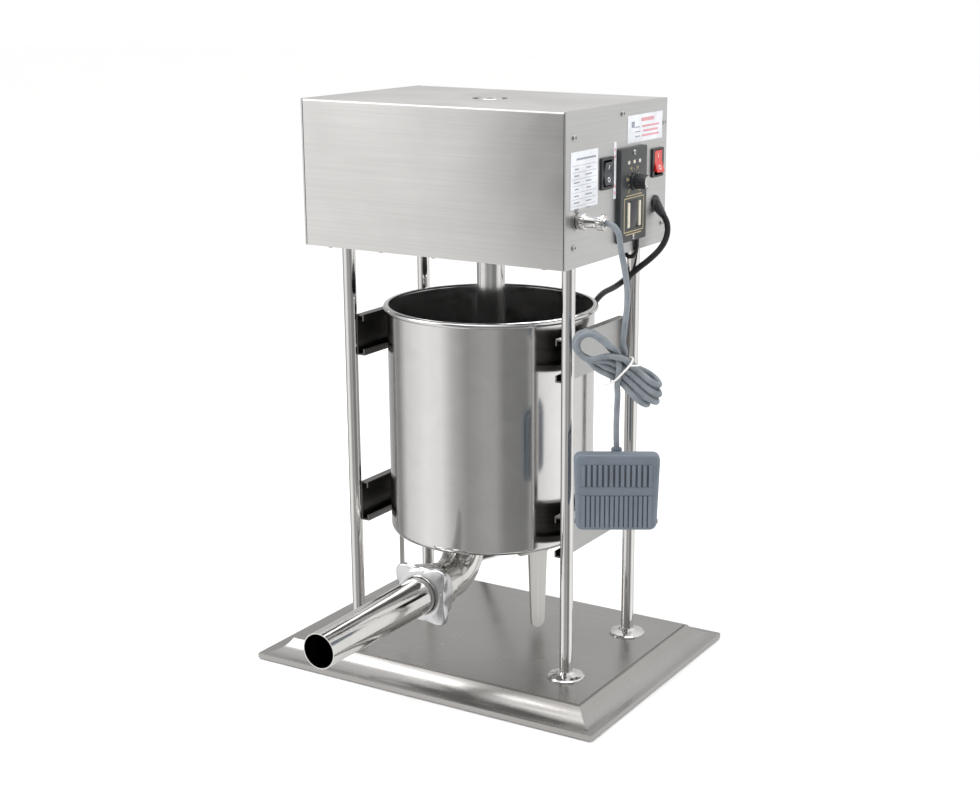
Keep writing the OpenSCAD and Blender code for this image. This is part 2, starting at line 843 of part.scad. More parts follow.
module speed_knob() {
    front = side_x + dial_h + 0.3;
    color("black") along_x([0, knob_at.x, knob_at.y]) {
        translate([0, 0, side_x - 2]) cylinder(r = 3, h = dial_h + 4);
        translate([0, 0, front]) cylinder(r = knob_r + 1.5, h = 2);
        translate([0, 0, front]) cylinder(r = knob_r, h = knob_h - 1);
        translate([0, 0, front + knob_h - 1]) cylinder(r1 = knob_r, r2 = knob_r - 1, h = 1);
    }
}

// Housing of a rocker switch: a bezel on the panel, a box behind it and two pins for the rocker
module switch_housing(at, size) {
    along_x([0, at.x, at.y]) difference() {
        union() {
            translate([0, 0, side_x]) linear_extrude(bezel_h) rounded_plate(size, 2);
            translate([0, 0, side_x - 26]) linear_extrude(26) square([24.5, 32.6], center = true);
        }
        translate([0, 0, side_x - 14]) linear_extrude(30) square([20, 30.4], center = true);
    }
    for (s = [-1, 1]) translate([side_x - 4, at.x + s * 9.5, at.y]) rotate([90, 0, 0])
        cylinder(r = rocker_pin_r, h = 4, center = true);
}

// Rocker with a hollow front face, on a pivot 4 mm behind the panel's face
module rocker(at) {
    half = 13.2;
    difference() {
        along_front([0, at.x + 9.7, at.y]) linear_extrude(19.4) polygon([
            [side_x - 8, -6], [side_x + 5, -half], [side_x + 2.6, 0], [side_x + 5, half], [side_x - 8, 6]
        ]);
        translate([side_x - 4, at.x, at.y]) rotate([90, 0, 0])
            cylinder(r = rocker_pin_r + 0.06, h = 30, center = true);
    }
}

// Turns a rocker about its pivot
module rocked(at, a) {
    pivot = [side_x - 4, at.x, at.y];
    translate(pivot) rotate([0, a, 0]) translate(-pivot) children();
}

module direction_switch() {
    color("black") switch_housing(direction_at, direction_size);
}

module direction_rocker() {
    color("dimgray") rocker(direction_at);
}

module power_switch() {
    color("black") switch_housing(power_at, power_size);
}

module power_rocker() {
    color("red") rocked(power_at, -rocker_turn) rocker(power_at);
}

// Rating plate, caution plate and the strip beside the direction switch, all blank
module label_plates() {
    thick = 0.5;
    plates = [[-81, 636, 64, 64], [70, 682, 92, 32], [-7, 638, 6, 66]];
    color("white") for (p = plates) along_x([side_x, p[0], p[1]]) linear_extrude(thick)
        square([p[2], p[3]], center = true);
}

module controller_lead() {
    color("black") cord(control_route, 5.5, 8);
}

// ---------------------------------------------------------------- foot switch and its cord

module foot_socket() {
    color("silver") along_x([side_x, socket_at.x, socket_at.y]) {
        translate([0, 0, -14]) cylinder(r = 8, h = 15);
        cylinder(r = 11.5, h = 2.5);
        translate([0, 0, 2]) cylinder(r = 7.8, h = 9);
    }
}

// Round connector: a coupling ring, a barrel and a cord clamp
module foot_plug() {
    color("silver") along_x([side_x + 3, socket_at.x, socket_at.y]) difference() {
        union() {
            cylinder(r = 10, h = 9);
            translate([0, 0, 8]) cylinder(r = 7.5, h = 18);
            translate([0, 0, 25]) cylinder(r = 9, h = 8);
            translate([0, 0, 33]) cylinder(r = 6, h = 2);
        }
        translate([0, 0, -1]) cylinder(r = 8, h = 9.2);
    }
}

module foot_cord() {
    color("slategray") cord(foot_route, foot_d);
}

module foot_drop_cord() {
    color("slategray") cord(drop_route, foot_d);
}

module foot_cord_hank() {
    color("slategray") translate(hank_at) rotate([0, 0, foot_turn]) rotate([0, hank_tilt, 0])
        rotate([90, 0, 0]) translate([0, 0, -hank_t / 2]) linear_extrude(hank_t) {
            square([hank_len - hank_w, hank_w], center = true);
            for (s = [-1, 1]) translate([s * (hank_len - hank_w) / 2, 0]) circle(hank_w / 2);
        }
}

// Puts a shape in the foot switch's place; its own -Y is the side that is stepped on
module foot_place() {
    translate(foot_at) rotate([0, 0, foot_turn]) children();
}

module foot_switch() {
    color("slategray") foot_place() {
        rotate([-90, 0, 0]) translate([0, 0, 4]) linear_extrude(11) rounded_plate([tray_w, tray_l], 8);
        translate([0, 8.6, 38]) cylinder(r = 6.2, h = 10, $fn = 32);
        for (s = [-1, 1]) scale([s, 1, 1]) {
            translate([tray_w / 2 - 5, -7, pivot_z - 4]) cube([4, 12, 8]);
            translate([tray_w / 2 - 2, pivot_y, pivot_z]) rotate([0, 90, 0])
                cylinder(r = trunnion_r, h = 5, $fn = 48);
        }
    }
}

// Treadle: a shallow cap over the tray, turning on the tray's two trunnions
module foot_pedal() {
    wall = 3;
    front = 13;
    back = 2;
    color("lightslategray") foot_place() difference() {
        rotate([-90, 0, 0]) translate([0, 0, -front]) linear_extrude(front + back)
            rounded_plate([foot_w, foot_l], 8);
        rotate([-90, 0, 0]) translate([0, 0, -front + 5]) linear_extrude(front + back)
            rounded_plate([foot_w - 2 * wall, foot_l - 2 * wall], 6);
        translate([-8, -6, foot_l / 2 - 8]) cube([16, 20, 20]);
        for (s = [-1, 1]) translate([s * foot_w / 2, pivot_y, pivot_z]) rotate([0, 90, 0])
            cylinder(r = trunnion_r + 0.08, h = 12, center = true, $fn = 48);
    }
}

// ---------------------------------------------------------------- mains lead

// Moulded strain relief that leaves the panel pointing outwards and down
module cord_gland() {
    color("black") translate([side_x, gland_at.x, gland_at.y]) {
        rotate([0, 90, 0]) cylinder(r = 9.5, h = 3);
        rotate([0, 90, 0]) translate([0, 0, -10]) cylinder(r = 6, h = 11);
        difference() {
            rotate([0, 90 + gland_tilt, 0]) translate([0, 0, -6])
                cylinder(r1 = 8, r2 = mains_d / 2 + 0.6, h = gland_len + 6);
            translate([-20, -20, -20]) cube([20, 40, 40]);
        }
    }
}

module power_cord() {
    color("black") cord(mains_route, mains_d);
}

// Two turns of the lead side by side, with two more on them
module power_cord_coil() {
    color("black") translate([coil_at.x, coil_at.y, 0]) rotate_extrude($fn = 96)
        translate([coil_in, 0]) square([coil_out - coil_in, 2 * mains_d]);
}

// Moulded plug with two round pins, where the coil's last turn runs out behind it
module power_plug() {
    turn_r = coil_out - 4;
    start = 27;
    relief = 22;
    body = 28;
    color("black") translate([coil_at.x, coil_at.y, plug_z]) rotate([0, 0, tail_angle])
        translate([turn_r, 0, 0]) rotate([0, 0, 90]) translate([start, 0, 0]) {
            rotate([0, 90, 0]) cylinder(r1 = mains_d / 2 + 0.8, r2 = 7, h = relief, $fn = 32);
            translate([relief, 0, 0]) rotate([90, 0, 90]) linear_extrude(body) rounded_plate([26, 18], 7);
            for (s = [-1, 1]) translate([relief + body - 1, s * 9.5, 0]) rotate([0, 90, 0])
                cylinder(r = 2.4, h = 20, $fn = 24);
        }
}

// ---------------------------------------------------------------- all nodes

base_skin();
base_core();
anti_slip_mat();
post(-1, -1);  // post_front_left
post(1, -1);  // post_front_right
post(-1, 1);  // post_back_left
post(1, 1);  // post_back_right
post_collars();
post_nuts();
rail(-1, rail_high_z);  // rail_upper_left
rail(1, rail_high_z);  // rail_upper_right
rail(-1, rail_low_z);  // rail_lower_left
rail(1, rail_low_z);  // rail_lower_right
barrel();
barrel_legs();
barrel_lugs();
outlet_elbow();
nozzle_gasket();
filling_tube();
wing_nut();
piston_plate();
piston_seal();
piston_rod();
piston_nut();
air_valve();
head_cover();
right_panel();
left_panel();
panel_screws();
deck_plate();
rod_bush();
upper_guide();
bearing_plate(-bearing_x - bearing_w);  // bearing_plate_left
bearing_plate(bearing_x);  // bearing_plate_right
shaft_bearings();
drive_shaft();
rack_pinion();
drive_gear();
motor_bracket();
gear_motor();
motor_pinion();
speed_controller();
speed_knob();
direction_switch();
direction_rocker();
power_switch();
power_rocker();
label_plates();
controller_lead();
foot_socket();
foot_plug();
foot_cord();
foot_cord_hank();
foot_drop_cord();
foot_switch();
foot_pedal();
cord_gland();
power_cord();
power_cord_coil();
power_plug();
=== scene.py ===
import math

import bpy
import numpy as np
from mathutils import Matrix, Vector


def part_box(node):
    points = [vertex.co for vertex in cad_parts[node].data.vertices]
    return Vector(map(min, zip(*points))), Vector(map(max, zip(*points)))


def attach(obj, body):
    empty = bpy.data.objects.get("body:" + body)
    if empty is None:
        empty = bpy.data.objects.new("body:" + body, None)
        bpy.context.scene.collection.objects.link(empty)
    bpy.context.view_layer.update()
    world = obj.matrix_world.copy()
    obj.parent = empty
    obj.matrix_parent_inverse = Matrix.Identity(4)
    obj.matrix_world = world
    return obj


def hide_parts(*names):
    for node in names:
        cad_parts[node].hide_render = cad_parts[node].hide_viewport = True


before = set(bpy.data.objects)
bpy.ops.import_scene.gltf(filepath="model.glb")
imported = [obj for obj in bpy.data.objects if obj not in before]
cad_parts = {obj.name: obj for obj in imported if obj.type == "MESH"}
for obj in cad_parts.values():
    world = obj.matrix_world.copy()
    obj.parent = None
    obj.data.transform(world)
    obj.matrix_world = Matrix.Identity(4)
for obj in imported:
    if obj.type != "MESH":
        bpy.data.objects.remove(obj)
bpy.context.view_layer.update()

TAU = 2 * math.pi


# ---------------------------------------------------------------- places taken from the frame

def middle(node):
    """Middle of a CAD node's box."""
    low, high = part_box(node)
    return (low + high) / 2


def across(points_to, at):
    """Frame at a point whose own +Z points along +X, -X or -Y, with its own +Y up."""
    turns = {
        "right": Matrix(((0, 0, 1), (1, 0, 0), (0, 1, 0))),
        "left": Matrix(((0, 0, -1), (-1, 0, 0), (0, 1, 0))),
        "front": Matrix(((1, 0, 0), (0, 0, -1), (0, 1, 0))),
    }
    return Matrix.Translation(at) @ turns[points_to].to_4x4()


side_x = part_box("right_panel")[1].x
left_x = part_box("left_panel")[0].x
axis_z = middle("filling_tube").z
cover_low, cover_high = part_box("head_cover")
FOOT_TURN = math.radians(30)
foot_origin = Vector((0.229, -0.097, 0.282))
foot_frame = Matrix.Translation(foot_origin) @ Matrix.Rotation(FOOT_TURN, 4, "Z")


# ---------------------------------------------------------------- camera

CAMERA_AT = (1.0919, -1.7696, 0.8754)
CAMERA_ANGLES = (29.53, 15.85, 0.26)


def make_camera():
    """Camera at the height and distance of the reference view, with a small shift for its framing."""
    yaw, pitch, roll = (math.radians(a) for a in CAMERA_ANGLES)
    ahead = Vector((-math.sin(yaw) * math.cos(pitch), math.cos(yaw) * math.cos(pitch), -math.sin(pitch)))
    level = Vector((math.cos(yaw), math.sin(yaw), 0))
    above = level.cross(ahead)
    right = level * math.cos(roll) + above * math.sin(roll)
    up = above * math.cos(roll) - level * math.sin(roll)
    data = bpy.data.cameras.new("camera")
    data.lens = 62.38
    data.sensor_width = 36
    data.shift_x = -0.0644
    data.shift_y = 0.0441
    data.dof.use_dof = False
    camera = bpy.data.objects.new("camera", data)
    bpy.context.scene.collection.objects.link(camera)
    turn = Matrix((right, up, -ahead)).transposed().to_4x4()
    camera.matrix_world = Matrix.Translation(CAMERA_AT) @ turn
    bpy.context.scene.camera = camera


make_camera()


# ---------------------------------------------------------------- materials

def add_node(tree, kind, inputs=None, **settings):
    """A shader node with its settings made and its inputs set or linked."""
    made = tree.nodes.new("ShaderNode" + kind)
    for key, value in settings.items():
        setattr(made, key, value)
    for key, value in (inputs or {}).items():
        if isinstance(value, bpy.types.NodeSocket):
            tree.links.new(value, made.inputs[key])
        else:
            made.inputs[key].default_value = value
    return made


def mix_colors(tree, factor, low, high):
    """Colour mix of two sockets or constants, by a factor socket."""
    made = tree.nodes.new("ShaderNodeMix")
    made.data_type = "RGBA"
    # a Mix node has sockets of every kind: the colour ones come last, and its colour output is the third
    for socket, value in ((made.inputs[0], factor), (made.inputs[6], low), (made.inputs[7], high)):
        if isinstance(value, bpy.types.NodeSocket):
            tree.links.new(value, socket)
        else:
            socket.default_value = value
    return made.outputs[2]


class Surface:
    """A Principled material, with short calls for the nodes that vary it."""

    def __init__(self, name, color, roughness, metallic=0.0, **sockets):
        self.mat = bpy.data.materials.new(name)
        self.mat.use_nodes = True
        self.tree = self.mat.node_tree
        self.bsdf = self.tree.nodes["Principled BSDF"]
        self.color = (*color, 1)
        self.set(**{"Base Color": self.color, "Roughness": roughness, "Metallic": metallic})
        self.set(**{key.replace("_", " "): value for key, value in sockets.items()})
        self.normal = None

    def set(self, **sockets):
        for key, value in sockets.items():
            self.bsdf.inputs[key].default_value = value

    def node(self, kind, inputs=None, **settings):
        return add_node(self.tree, kind, inputs, **settings)

    def place(self, scale=(1, 1, 1)):
        """Object coordinates, which are metres in the row frame, stretched."""
        coords = self.node("TexCoord").outputs["Object"]
        return self.node("Mapping", {"Vector": coords, "Scale": scale}).outputs["Vector"]

    def noise(self, scale, per_m=1.0, detail=3.0, rough=0.55, distortion=0.0):
        return self.node("TexNoise", {
            "Vector": self.place(scale), "Scale": per_m, "Detail": detail, "Roughness": rough,
            "Distortion": distortion,
        }).outputs["Fac"]

    def spread(self, value, low, high, start=0.3, end=0.7):
        """A value mapped from start..end onto low..high."""
        return self.node("MapRange", {
            "Value": value, "From Min": start, "From Max": end, "To Min": low, "To Max": high,
        }).outputs["Result"]

    def tint(self, value, dark, light, start=0.3, end=0.7):
        """The base colour, from dark to light times itself."""
        ramp = self.node("ValToRGB", {"Fac": value})
        for stop, place, factor in zip(ramp.color_ramp.elements, (start, end), (dark, light)):
            stop.position = place
            stop.color = (*(c * factor for c in self.color[:3]), 1)
        self.tree.links.new(ramp.outputs["Color"], self.bsdf.inputs["Base Color"])
        return self

    def vary(self, socket, value):
        self.tree.links.new(value, self.bsdf.inputs[socket])
        return self

    def bump(self, value, strength, distance):
        inputs = {"Height": value, "Strength": strength, "Distance": distance}
        if self.normal:
            inputs["Normal"] = self.normal
        self.normal = self.node("Bump", inputs).outputs["Normal"]
        self.tree.links.new(self.normal, self.bsdf.inputs["Normal"])
        return self


def brushed(name, color, along, low, high, wear=0.06, depth=0.10):
    """Sheet steel with fine brush lines along one axis, and soft cloudy wear over them."""
    s = Surface(name, color, (low + high) / 2, 1.0)
    lines_scale = {"x": (6, 620, 620), "y": (620, 6, 620), "z": (620, 620, 6)}[along]
    lines = s.noise(lines_scale, detail=4)
    clouds = s.noise((7, 7, 7), detail=4, distortion=0.6)
    s.tint(s.node("Math", {0: lines, 1: clouds}, operation="MULTIPLY").outputs[0], 1 - wear, 1 + wear, 0.15, 0.4)
    s.vary("Roughness", s.spread(clouds, low, high))
    return s.bump(lines, depth, 0.00006)


def polished(name, color, low, high, ripple=0.05, scale=(14, 14, 5)):
    """Polished steel, with faint waviness and finger-marked patches."""
    s = Surface(name, color, (low + high) / 2, 1.0)
    marks = s.noise((24, 24, 24), detail=5, distortion=0.8)
    s.tint(marks, 0.95, 1.03)
    s.vary("Roughness", s.spread(marks, low, high))
    return s.bump(s.noise(scale, detail=2), ripple, 0.004)


def moulded(name, color, low, high, grain=1500, depth=0.25, **sockets):
    """Moulded plastic with a fine sparked grain and slight colour drift."""
    s = Surface(name, color, (low + high) / 2, **sockets)
    clouds = s.noise((30, 30, 30), detail=3)
    s.tint(clouds, 0.88, 1.12)
    s.vary("Roughness", s.spread(clouds, low, high))
    return s.bump(s.noise((1, 1, 1), grain, detail=2), depth, 0.00015)


def machined(name, color, low, high, scale=(300, 300, 20)):
    """Turned or ground metal with fine tool marks."""
    s = Surface(name, color, (low + high) / 2, 1.0)
    marks = s.noise(scale, detail=3)
    s.tint(marks, 0.88, 1.08)
    s.vary("Roughness", s.spread(marks, low, high))
    return s.bump(marks, 0.12, 0.0001)


def sheath(name, color, low, high):
    """Cable sheath: matt, slightly dusty, with the faint ridges of the cores under it."""
    s = Surface(name, color, (low + high) / 2, Specular_IOR_Level=0.4)
    dust = s.noise((60, 60, 60), detail=4)
    s.tint(dust, 0.82, 1.25)
    s.vary("Roughness", s.spread(dust, low, high))
    return s.bump(s.noise((220, 220, 220), detail=2), 0.25, 0.0004)


barrel_steel = polished("barrel_steel", (0.62, 0.615, 0.61), 0.10, 0.17, ripple=0.03, scale=(9, 9, 1.5))
mirror_steel = polished("mirror_steel", (0.66, 0.65, 0.64), 0.05, 0.12)
tube_steel = polished("tube_steel", (0.66, 0.65, 0.63), 0.06, 0.15, ripple=0.12, scale=(40, 12, 40))
cast_steel = polished("cast_steel", (0.60, 0.60, 0.61), 0.14, 0.26, ripple=0.25, scale=(45, 45, 45))
cover_steel = brushed("cover_steel", (0.60, 0.59, 0.58), "x", 0.34, 0.44)
panel_steel = brushed("panel_steel", (0.56, 0.56, 0.56), "y", 0.40, 0.50)
base_steel = brushed("base_steel", (0.385, 0.375, 0.365), "x", 0.20, 0.32)
leg_steel = brushed("leg_steel", (0.56, 0.55, 0.53), "z", 0.24, 0.36)

# the rails turn from their painted shade inside to their bright outer face between these distances from the middle
RAIL_FACE_X = (0.1470, 0.1478)


def channel_with_painted_shade():
    """Brushed channel, bright on its outer face, with painted shade darkening its inside."""
    s = brushed("rail_steel", (0.46, 0.46, 0.46), "y", 0.26, 0.38)
    outward = s.node("Math", {0: s.node("SeparateXYZ", {"Vector": s.place()}).outputs["X"]}, operation="ABSOLUTE")
    light = s.spread(outward.outputs[0], 0.0, 1.0, *RAIL_FACE_X)
    # painted shade: the channel's inside faces are darkened in the colour itself
    dark = s.node("ValToRGB", {"Fac": s.noise((620, 6, 620), detail=4)})
    for stop, value in zip(dark.color_ramp.elements, (0.07, 0.20)):
        stop.color = (value, value * 0.96, value * 0.92, 1)
    bright = s.bsdf.inputs["Base Color"].links[0].from_socket
    return s.vary("Base Color", mix_colors(s.tree, light, dark.outputs["Color"], bright))


rail_steel = channel_with_painted_shade()
screw_steel = machined("screw_steel", (0.55, 0.55, 0.54), 0.16, 0.30)
gear_steel = machined("gear_steel", (0.16, 0.16, 0.17), 0.30, 0.50)
plate_steel = machined("plate_steel", (0.30, 0.31, 0.33), 0.35, 0.5, (12, 12, 300))
bronze = machined("bronze", (0.55, 0.36, 0.16), 0.25, 0.40)
white_seal = moulded("white_seal", (0.80, 0.79, 0.74), 0.45, 0.6, 600)
black_plastic = moulded("black_plastic", (0.022, 0.023, 0.027), 0.30, 0.45)
rocker_black = moulded("rocker_black", (0.030, 0.034, 0.042), 0.18, 0.30, 900, 0.10)
plate_black = moulded("plate_black", (0.036, 0.041, 0.043), 0.32, 0.46, 900, 0.15)
# painted glow: a faint emission of its own on the red rocker, which is not lit
red_rocker_glow = moulded(
    "red_rocker_glow", (0.62, 0.018, 0.012), 0.12, 0.22, 500, 0.05, Coat_Weight=0.5,
    Emission_Color=(0.8, 0.02, 0.01, 1), Emission_Strength=0.12,
)
pedal_plastic = moulded("pedal_plastic", (0.150, 0.180, 0.215), 0.34, 0.48, 1200, 0.3)
# painted shade: dark colour for the grooves between the treadle's ribs
slot_shade = moulded("slot_shade", (0.050, 0.062, 0.078), 0.45, 0.6, 1200, 0.3)
grey_sheath = sheath("grey_sheath", (0.200, 0.225, 0.250), 0.32, 0.45)
black_sheath = sheath("black_sheath", (0.012, 0.012, 0.013), 0.30, 0.45)
# black rubber of the anti-slip mat, also used as painted shade in the gaps beside the side panels
rubber_and_gap_shade = moulded("rubber_and_gap_shade", (0.020, 0.020, 0.020), 0.65, 0.85, 400, 0.6)
paper = moulded("paper", (0.80, 0.82, 0.86), 0.35, 0.45, 700, 0.05)
ink_grey = moulded("ink_grey", (0.30, 0.32, 0.38), 0.5, 0.6, 700, 0.05)
ink_pink = moulded("ink_pink", (0.72, 0.36, 0.40), 0.5, 0.6, 700, 0.05)
gold_line = moulded("gold_line", (0.55, 0.45, 0.26), 0.30, 0.42, 700, 0.05)
cream = moulded("cream", (0.72, 0.68, 0.56), 0.30, 0.42, 700, 0.05)
# black of the dial window; as painted shade, also the dark crosses in the screw recesses
black_window_and_recess_shade = moulded("black_window_and_recess_shade", (0.010, 0.011, 0.016), 0.08, 0.16, 700, 0.03)
tie_white = moulded("tie_white", (0.78, 0.78, 0.76), 0.35, 0.45, 700, 0.1)
motor_paint = moulded("motor_paint", (0.045, 0.055, 0.062), 0.40, 0.55, 500, 0.4)


def board():
    """Wood board, with grain along X."""
    s = Surface("board", (0.36, 0.22, 0.12), 0.75)
    grain = s.noise((3, 60, 60), detail=5, distortion=1.0)
    return s.tint(grain, 0.7, 1.2).bump(grain, 0.3, 0.0005)


# ---------------------------------------------------------------- mesh building

def piece(name, verts, faces, body, surface, slot, sharp=35):
    """One mesh piece on a body, smooth apart from its sharp edges."""
    mesh = bpy.data.meshes.new(name)
    mesh.from_pydata([tuple(v) for v in verts], [], faces)
    mesh.materials.append(surface.mat)
    mesh.validate()
    mesh.polygons.foreach_set("use_smooth", [True] * len(mesh.polygons))
    mesh.set_sharp_from_angle(angle=math.radians(sharp))
    obj = bpy.data.objects.new(name, mesh)
    bpy.context.scene.collection.objects.link(obj)
    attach(obj, body)
    return obj


def loft(rings, hoop=False):
    """Skin over rings of points that all have the same number; a hoop joins the last ring to the first."""
    n = len(rings[0])
    verts = [p for ring in rings for p in ring]
    faces = []
    for i in range(len(rings) - (0 if hoop else 1)):
        a, b = i * n, (i + 1) % len(rings) * n
        faces += [(a + k, a + (k + 1) % n, b + (k + 1) % n, b + k) for k in range(n)]
    if not hoop:
        faces += [tuple(reversed(range(n))), tuple(range(len(verts) - n, len(verts)))]
    return verts, faces


def join(*shapes):
    """Several (verts, faces) shapes as one."""
    verts, faces = [], []
    for v, f in shapes:
        faces += [tuple(i + len(verts) for i in face) for face in f]
        verts += v
    return verts, faces


def moved(shape, matrix):
    return [matrix @ Vector(v) for v in shape[0]], shape[1]


def circle(r, z, n=64):
    return [(r * math.cos(TAU * k / n), r * math.sin(TAU * k / n), z) for k in range(n)]


def notched(r, z, depth, every, n):
    """Circle with two points in each run of so many set in, for flutes and knurls."""
    reach = [r - depth * (k % every < 2) for k in range(n)]
    return [(q * math.cos(TAU * k / n), q * math.sin(TAU * k / n), z) for k, q in enumerate(reach)]


def revolve(profile, n=96, hoop=False):
    """Turned shape from (radius, height) points."""
    return loft([circle(max(r, 1e-5), z, n) for r, z in profile], hoop)


def shift(x, y, z):
    return Matrix.Translation((x, y, z))


def rounded(w, h, r, z, steps=6, narrow=0.0):
    """Rounded rectangle at height z; narrow takes that much off the width at its lower edge."""
    points = []
    for q, (sx, sy) in enumerate(((1, 1), (-1, 1), (-1, -1), (1, -1))):
        for k in range(steps + 1):
            a = (q + k / steps) * TAU / 4
            y = sy * (h / 2 - r) + r * math.sin(a)
            x = sx * (w / 2 - r) + r * math.cos(a)
            points.append((x * (1 - narrow * (0.5 - y / h)), y, z))
    return points


def block(w, h, depth, r=0.0004, corner=0.001, steps=3):
    """Flat plate standing on its own XY plane, with rounded corners and a rounded front edge."""
    rings = [rounded(w, h, corner, 0, steps)]
    for k in range(4):
        a = k / 3 * TAU / 4
        inset = r * (1 - math.cos(a))
        z = depth - r + r * math.sin(a)
        rings.append(rounded(w - 2 * inset, h - 2 * inset, max(corner - inset, 1e-5), z, steps))
    return loft(rings)


def smooth_path(points, step):
    """Points along a Catmull-Rom curve through the given ones, about one step apart."""
    points = [Vector(p) for p in points]
    padded = [2 * points[0] - points[1], *points, 2 * points[-1] - points[-2]]
    made = []
    for a, b, c, d in zip(padded, padded[1:], padded[2:], padded[3:]):
        knots = [0.0]
        for p, q in ((a, b), (b, c), (c, d)):
            knots.append(knots[-1] + max((q - p).length, 1e-9) ** 0.5)
        t0, t1, t2, t3 = knots
        pieces_here = max(2, round((c - b).length / step))
        for k in range(pieces_here):
            t = t1 + (t2 - t1) * k / pieces_here
            ab = a.lerp(b, (t - t0) / (t1 - t0))
            bc = b.lerp(c, (t - t1) / (t2 - t1))
            cd = c.lerp(d, (t - t2) / (t3 - t2))
            early, late = ab.lerp(bc, (t - t0) / (t2 - t0)), bc.lerp(cd, (t - t1) / (t3 - t1))
            made.append(early.lerp(late, (t - t1) / (t2 - t1)))
    return made + [points[-1]]


def cord_curve(name, path, diameter, surface, body="frame"):
    """Round cord along a path, as a curve of one open spline."""
    data = bpy.data.curves.new(name, "CURVE")
    data.dimensions = "3D"
    data.bevel_depth = diameter / 2
    data.bevel_resolution = 5
    data.use_fill_caps = True
    spline = data.splines.new("POLY")
    spline.points.add(len(path) - 1)
    for point, place in zip(spline.points, path):
        point.co = (*place, 1)
    spline.use_smooth = True
    data.materials.append(surface.mat)
    obj = bpy.data.objects.new(name, data)
    bpy.context.scene.collection.objects.link(obj)
    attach(obj, body)
    return obj


def tube_along(path, r, n=16, hoop=False):
    """Round tube along a path, for ties and small wires."""
    rings = []
    side = None
    count = len(path)
    for i, p in enumerate(path):
        after = path[(i + 1) % count] if hoop or i < count - 1 else p
        before = path[i - 1] if hoop or i > 0 else p
        heading = (after - before).normalized()
        if side is None:
            side = heading.orthogonal().normalized()
        side = (side - heading * side.dot(heading)).normalized()
        other = heading.cross(side)
        rings.append([p + r * (math.cos(TAU * k / n) * side + math.sin(TAU * k / n) * other) for k in range(n)])
    return loft(rings, hoop)


# ---------------------------------------------------------------- cords

MAINS_D = 0.0075
FOOT_D = 0.007
GLAND = (0.100, 0.588)
COIL_AT = Vector((-0.232, 0.318, 0))
COIL_TURNS = (0.044, 0.0363)
COIL_START, COIL_END, COIL_STEP = -27, 1160, 8
COIL_EASE = 60
PLUG_Z = 0.009
PLUG_OUT = 0.027

mains_points = [
    (0.1869, 0.100, 0.5727), (0.191, 0.100, 0.566), (0.1935, 0.098, 0.556), (0.193, 0.094, 0.545),
    (0.189, 0.087, 0.534), (0.181, 0.078, 0.523), (0.170, 0.069, 0.512), (0.158, 0.066, 0.501),
    (0.145, 0.070, 0.491), (0.132, 0.080, 0.483), (0.118, 0.092, 0.476), (0.104, 0.104, 0.469),
    (0.090, 0.115, 0.459), (0.074, 0.126, 0.443), (0.056, 0.136, 0.420), (0.036, 0.146, 0.388),
    (0.014, 0.154, 0.348), (-0.010, 0.162, 0.302), (-0.036, 0.170, 0.252), (-0.062, 0.178, 0.200),
    (-0.088, 0.186, 0.150), (-0.112, 0.193, 0.103), (-0.134, 0.200, 0.063), (-0.154, 0.208, 0.033),
    (-0.172, 0.218, 0.014), (-0.188, 0.231, 0.005), (-0.198, 0.246, 0.00375), (-0.201, 0.264, 0.00375),
    (-0.198, 0.282, 0.00375), (-0.193, 0.298, 0.00375),
]


def eased(angle, start):
    """0 before start, 1 past the stretch after it, and a smooth rise between."""
    t = min(max((angle - start) / COIL_EASE, 0), 1)
    return t * t * (3 - 2 * t)


def coil_points():
    """Nearly two turns on the table, from the outside in, and one and a half on top of them, back out."""
    outer, inner = COIL_TURNS
    inwards, upwards, outwards = (COIL_START + turn for turn in (300, 600, 900))
    made = []
    for angle in range(COIL_START + COIL_STEP, COIL_END + 1, COIL_STEP):
        r = outer + (inner - outer) * (eased(angle, inwards) - eased(angle, outwards))
        z = MAINS_D / 2 + MAINS_D * eased(angle, upwards)
        a = math.radians(angle)
        made.append(COIL_AT + Vector((r * math.cos(a), r * math.sin(a), z)))
    return made


tail_angle = math.radians(COIL_END)
tail_side = Vector((math.cos(tail_angle), math.sin(tail_angle), 0))
tail_ahead = Vector((-math.sin(tail_angle), math.cos(tail_angle), 0))
tail_start = COIL_AT + COIL_TURNS[0] * tail_side


def make_mains():
    """Mains lead: strain relief, free run behind the barrel, coil and plug."""
    ends = ((0.014, 0.0108), (0.030, PLUG_Z), (0.040, PLUG_Z))
    tail = [tail_start + tail_ahead * ahead + Vector((0, 0, z)) for ahead, z in ends]
    path = smooth_path(mains_points + coil_points() + tail, 0.004)
    cord = cord_curve("mains_lead", path, MAINS_D, black_sheath)
    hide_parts("power_cord", "power_cord_coil")
    plug = make_plug()
    relief = make_gland()
    tie = make_coil_tie()


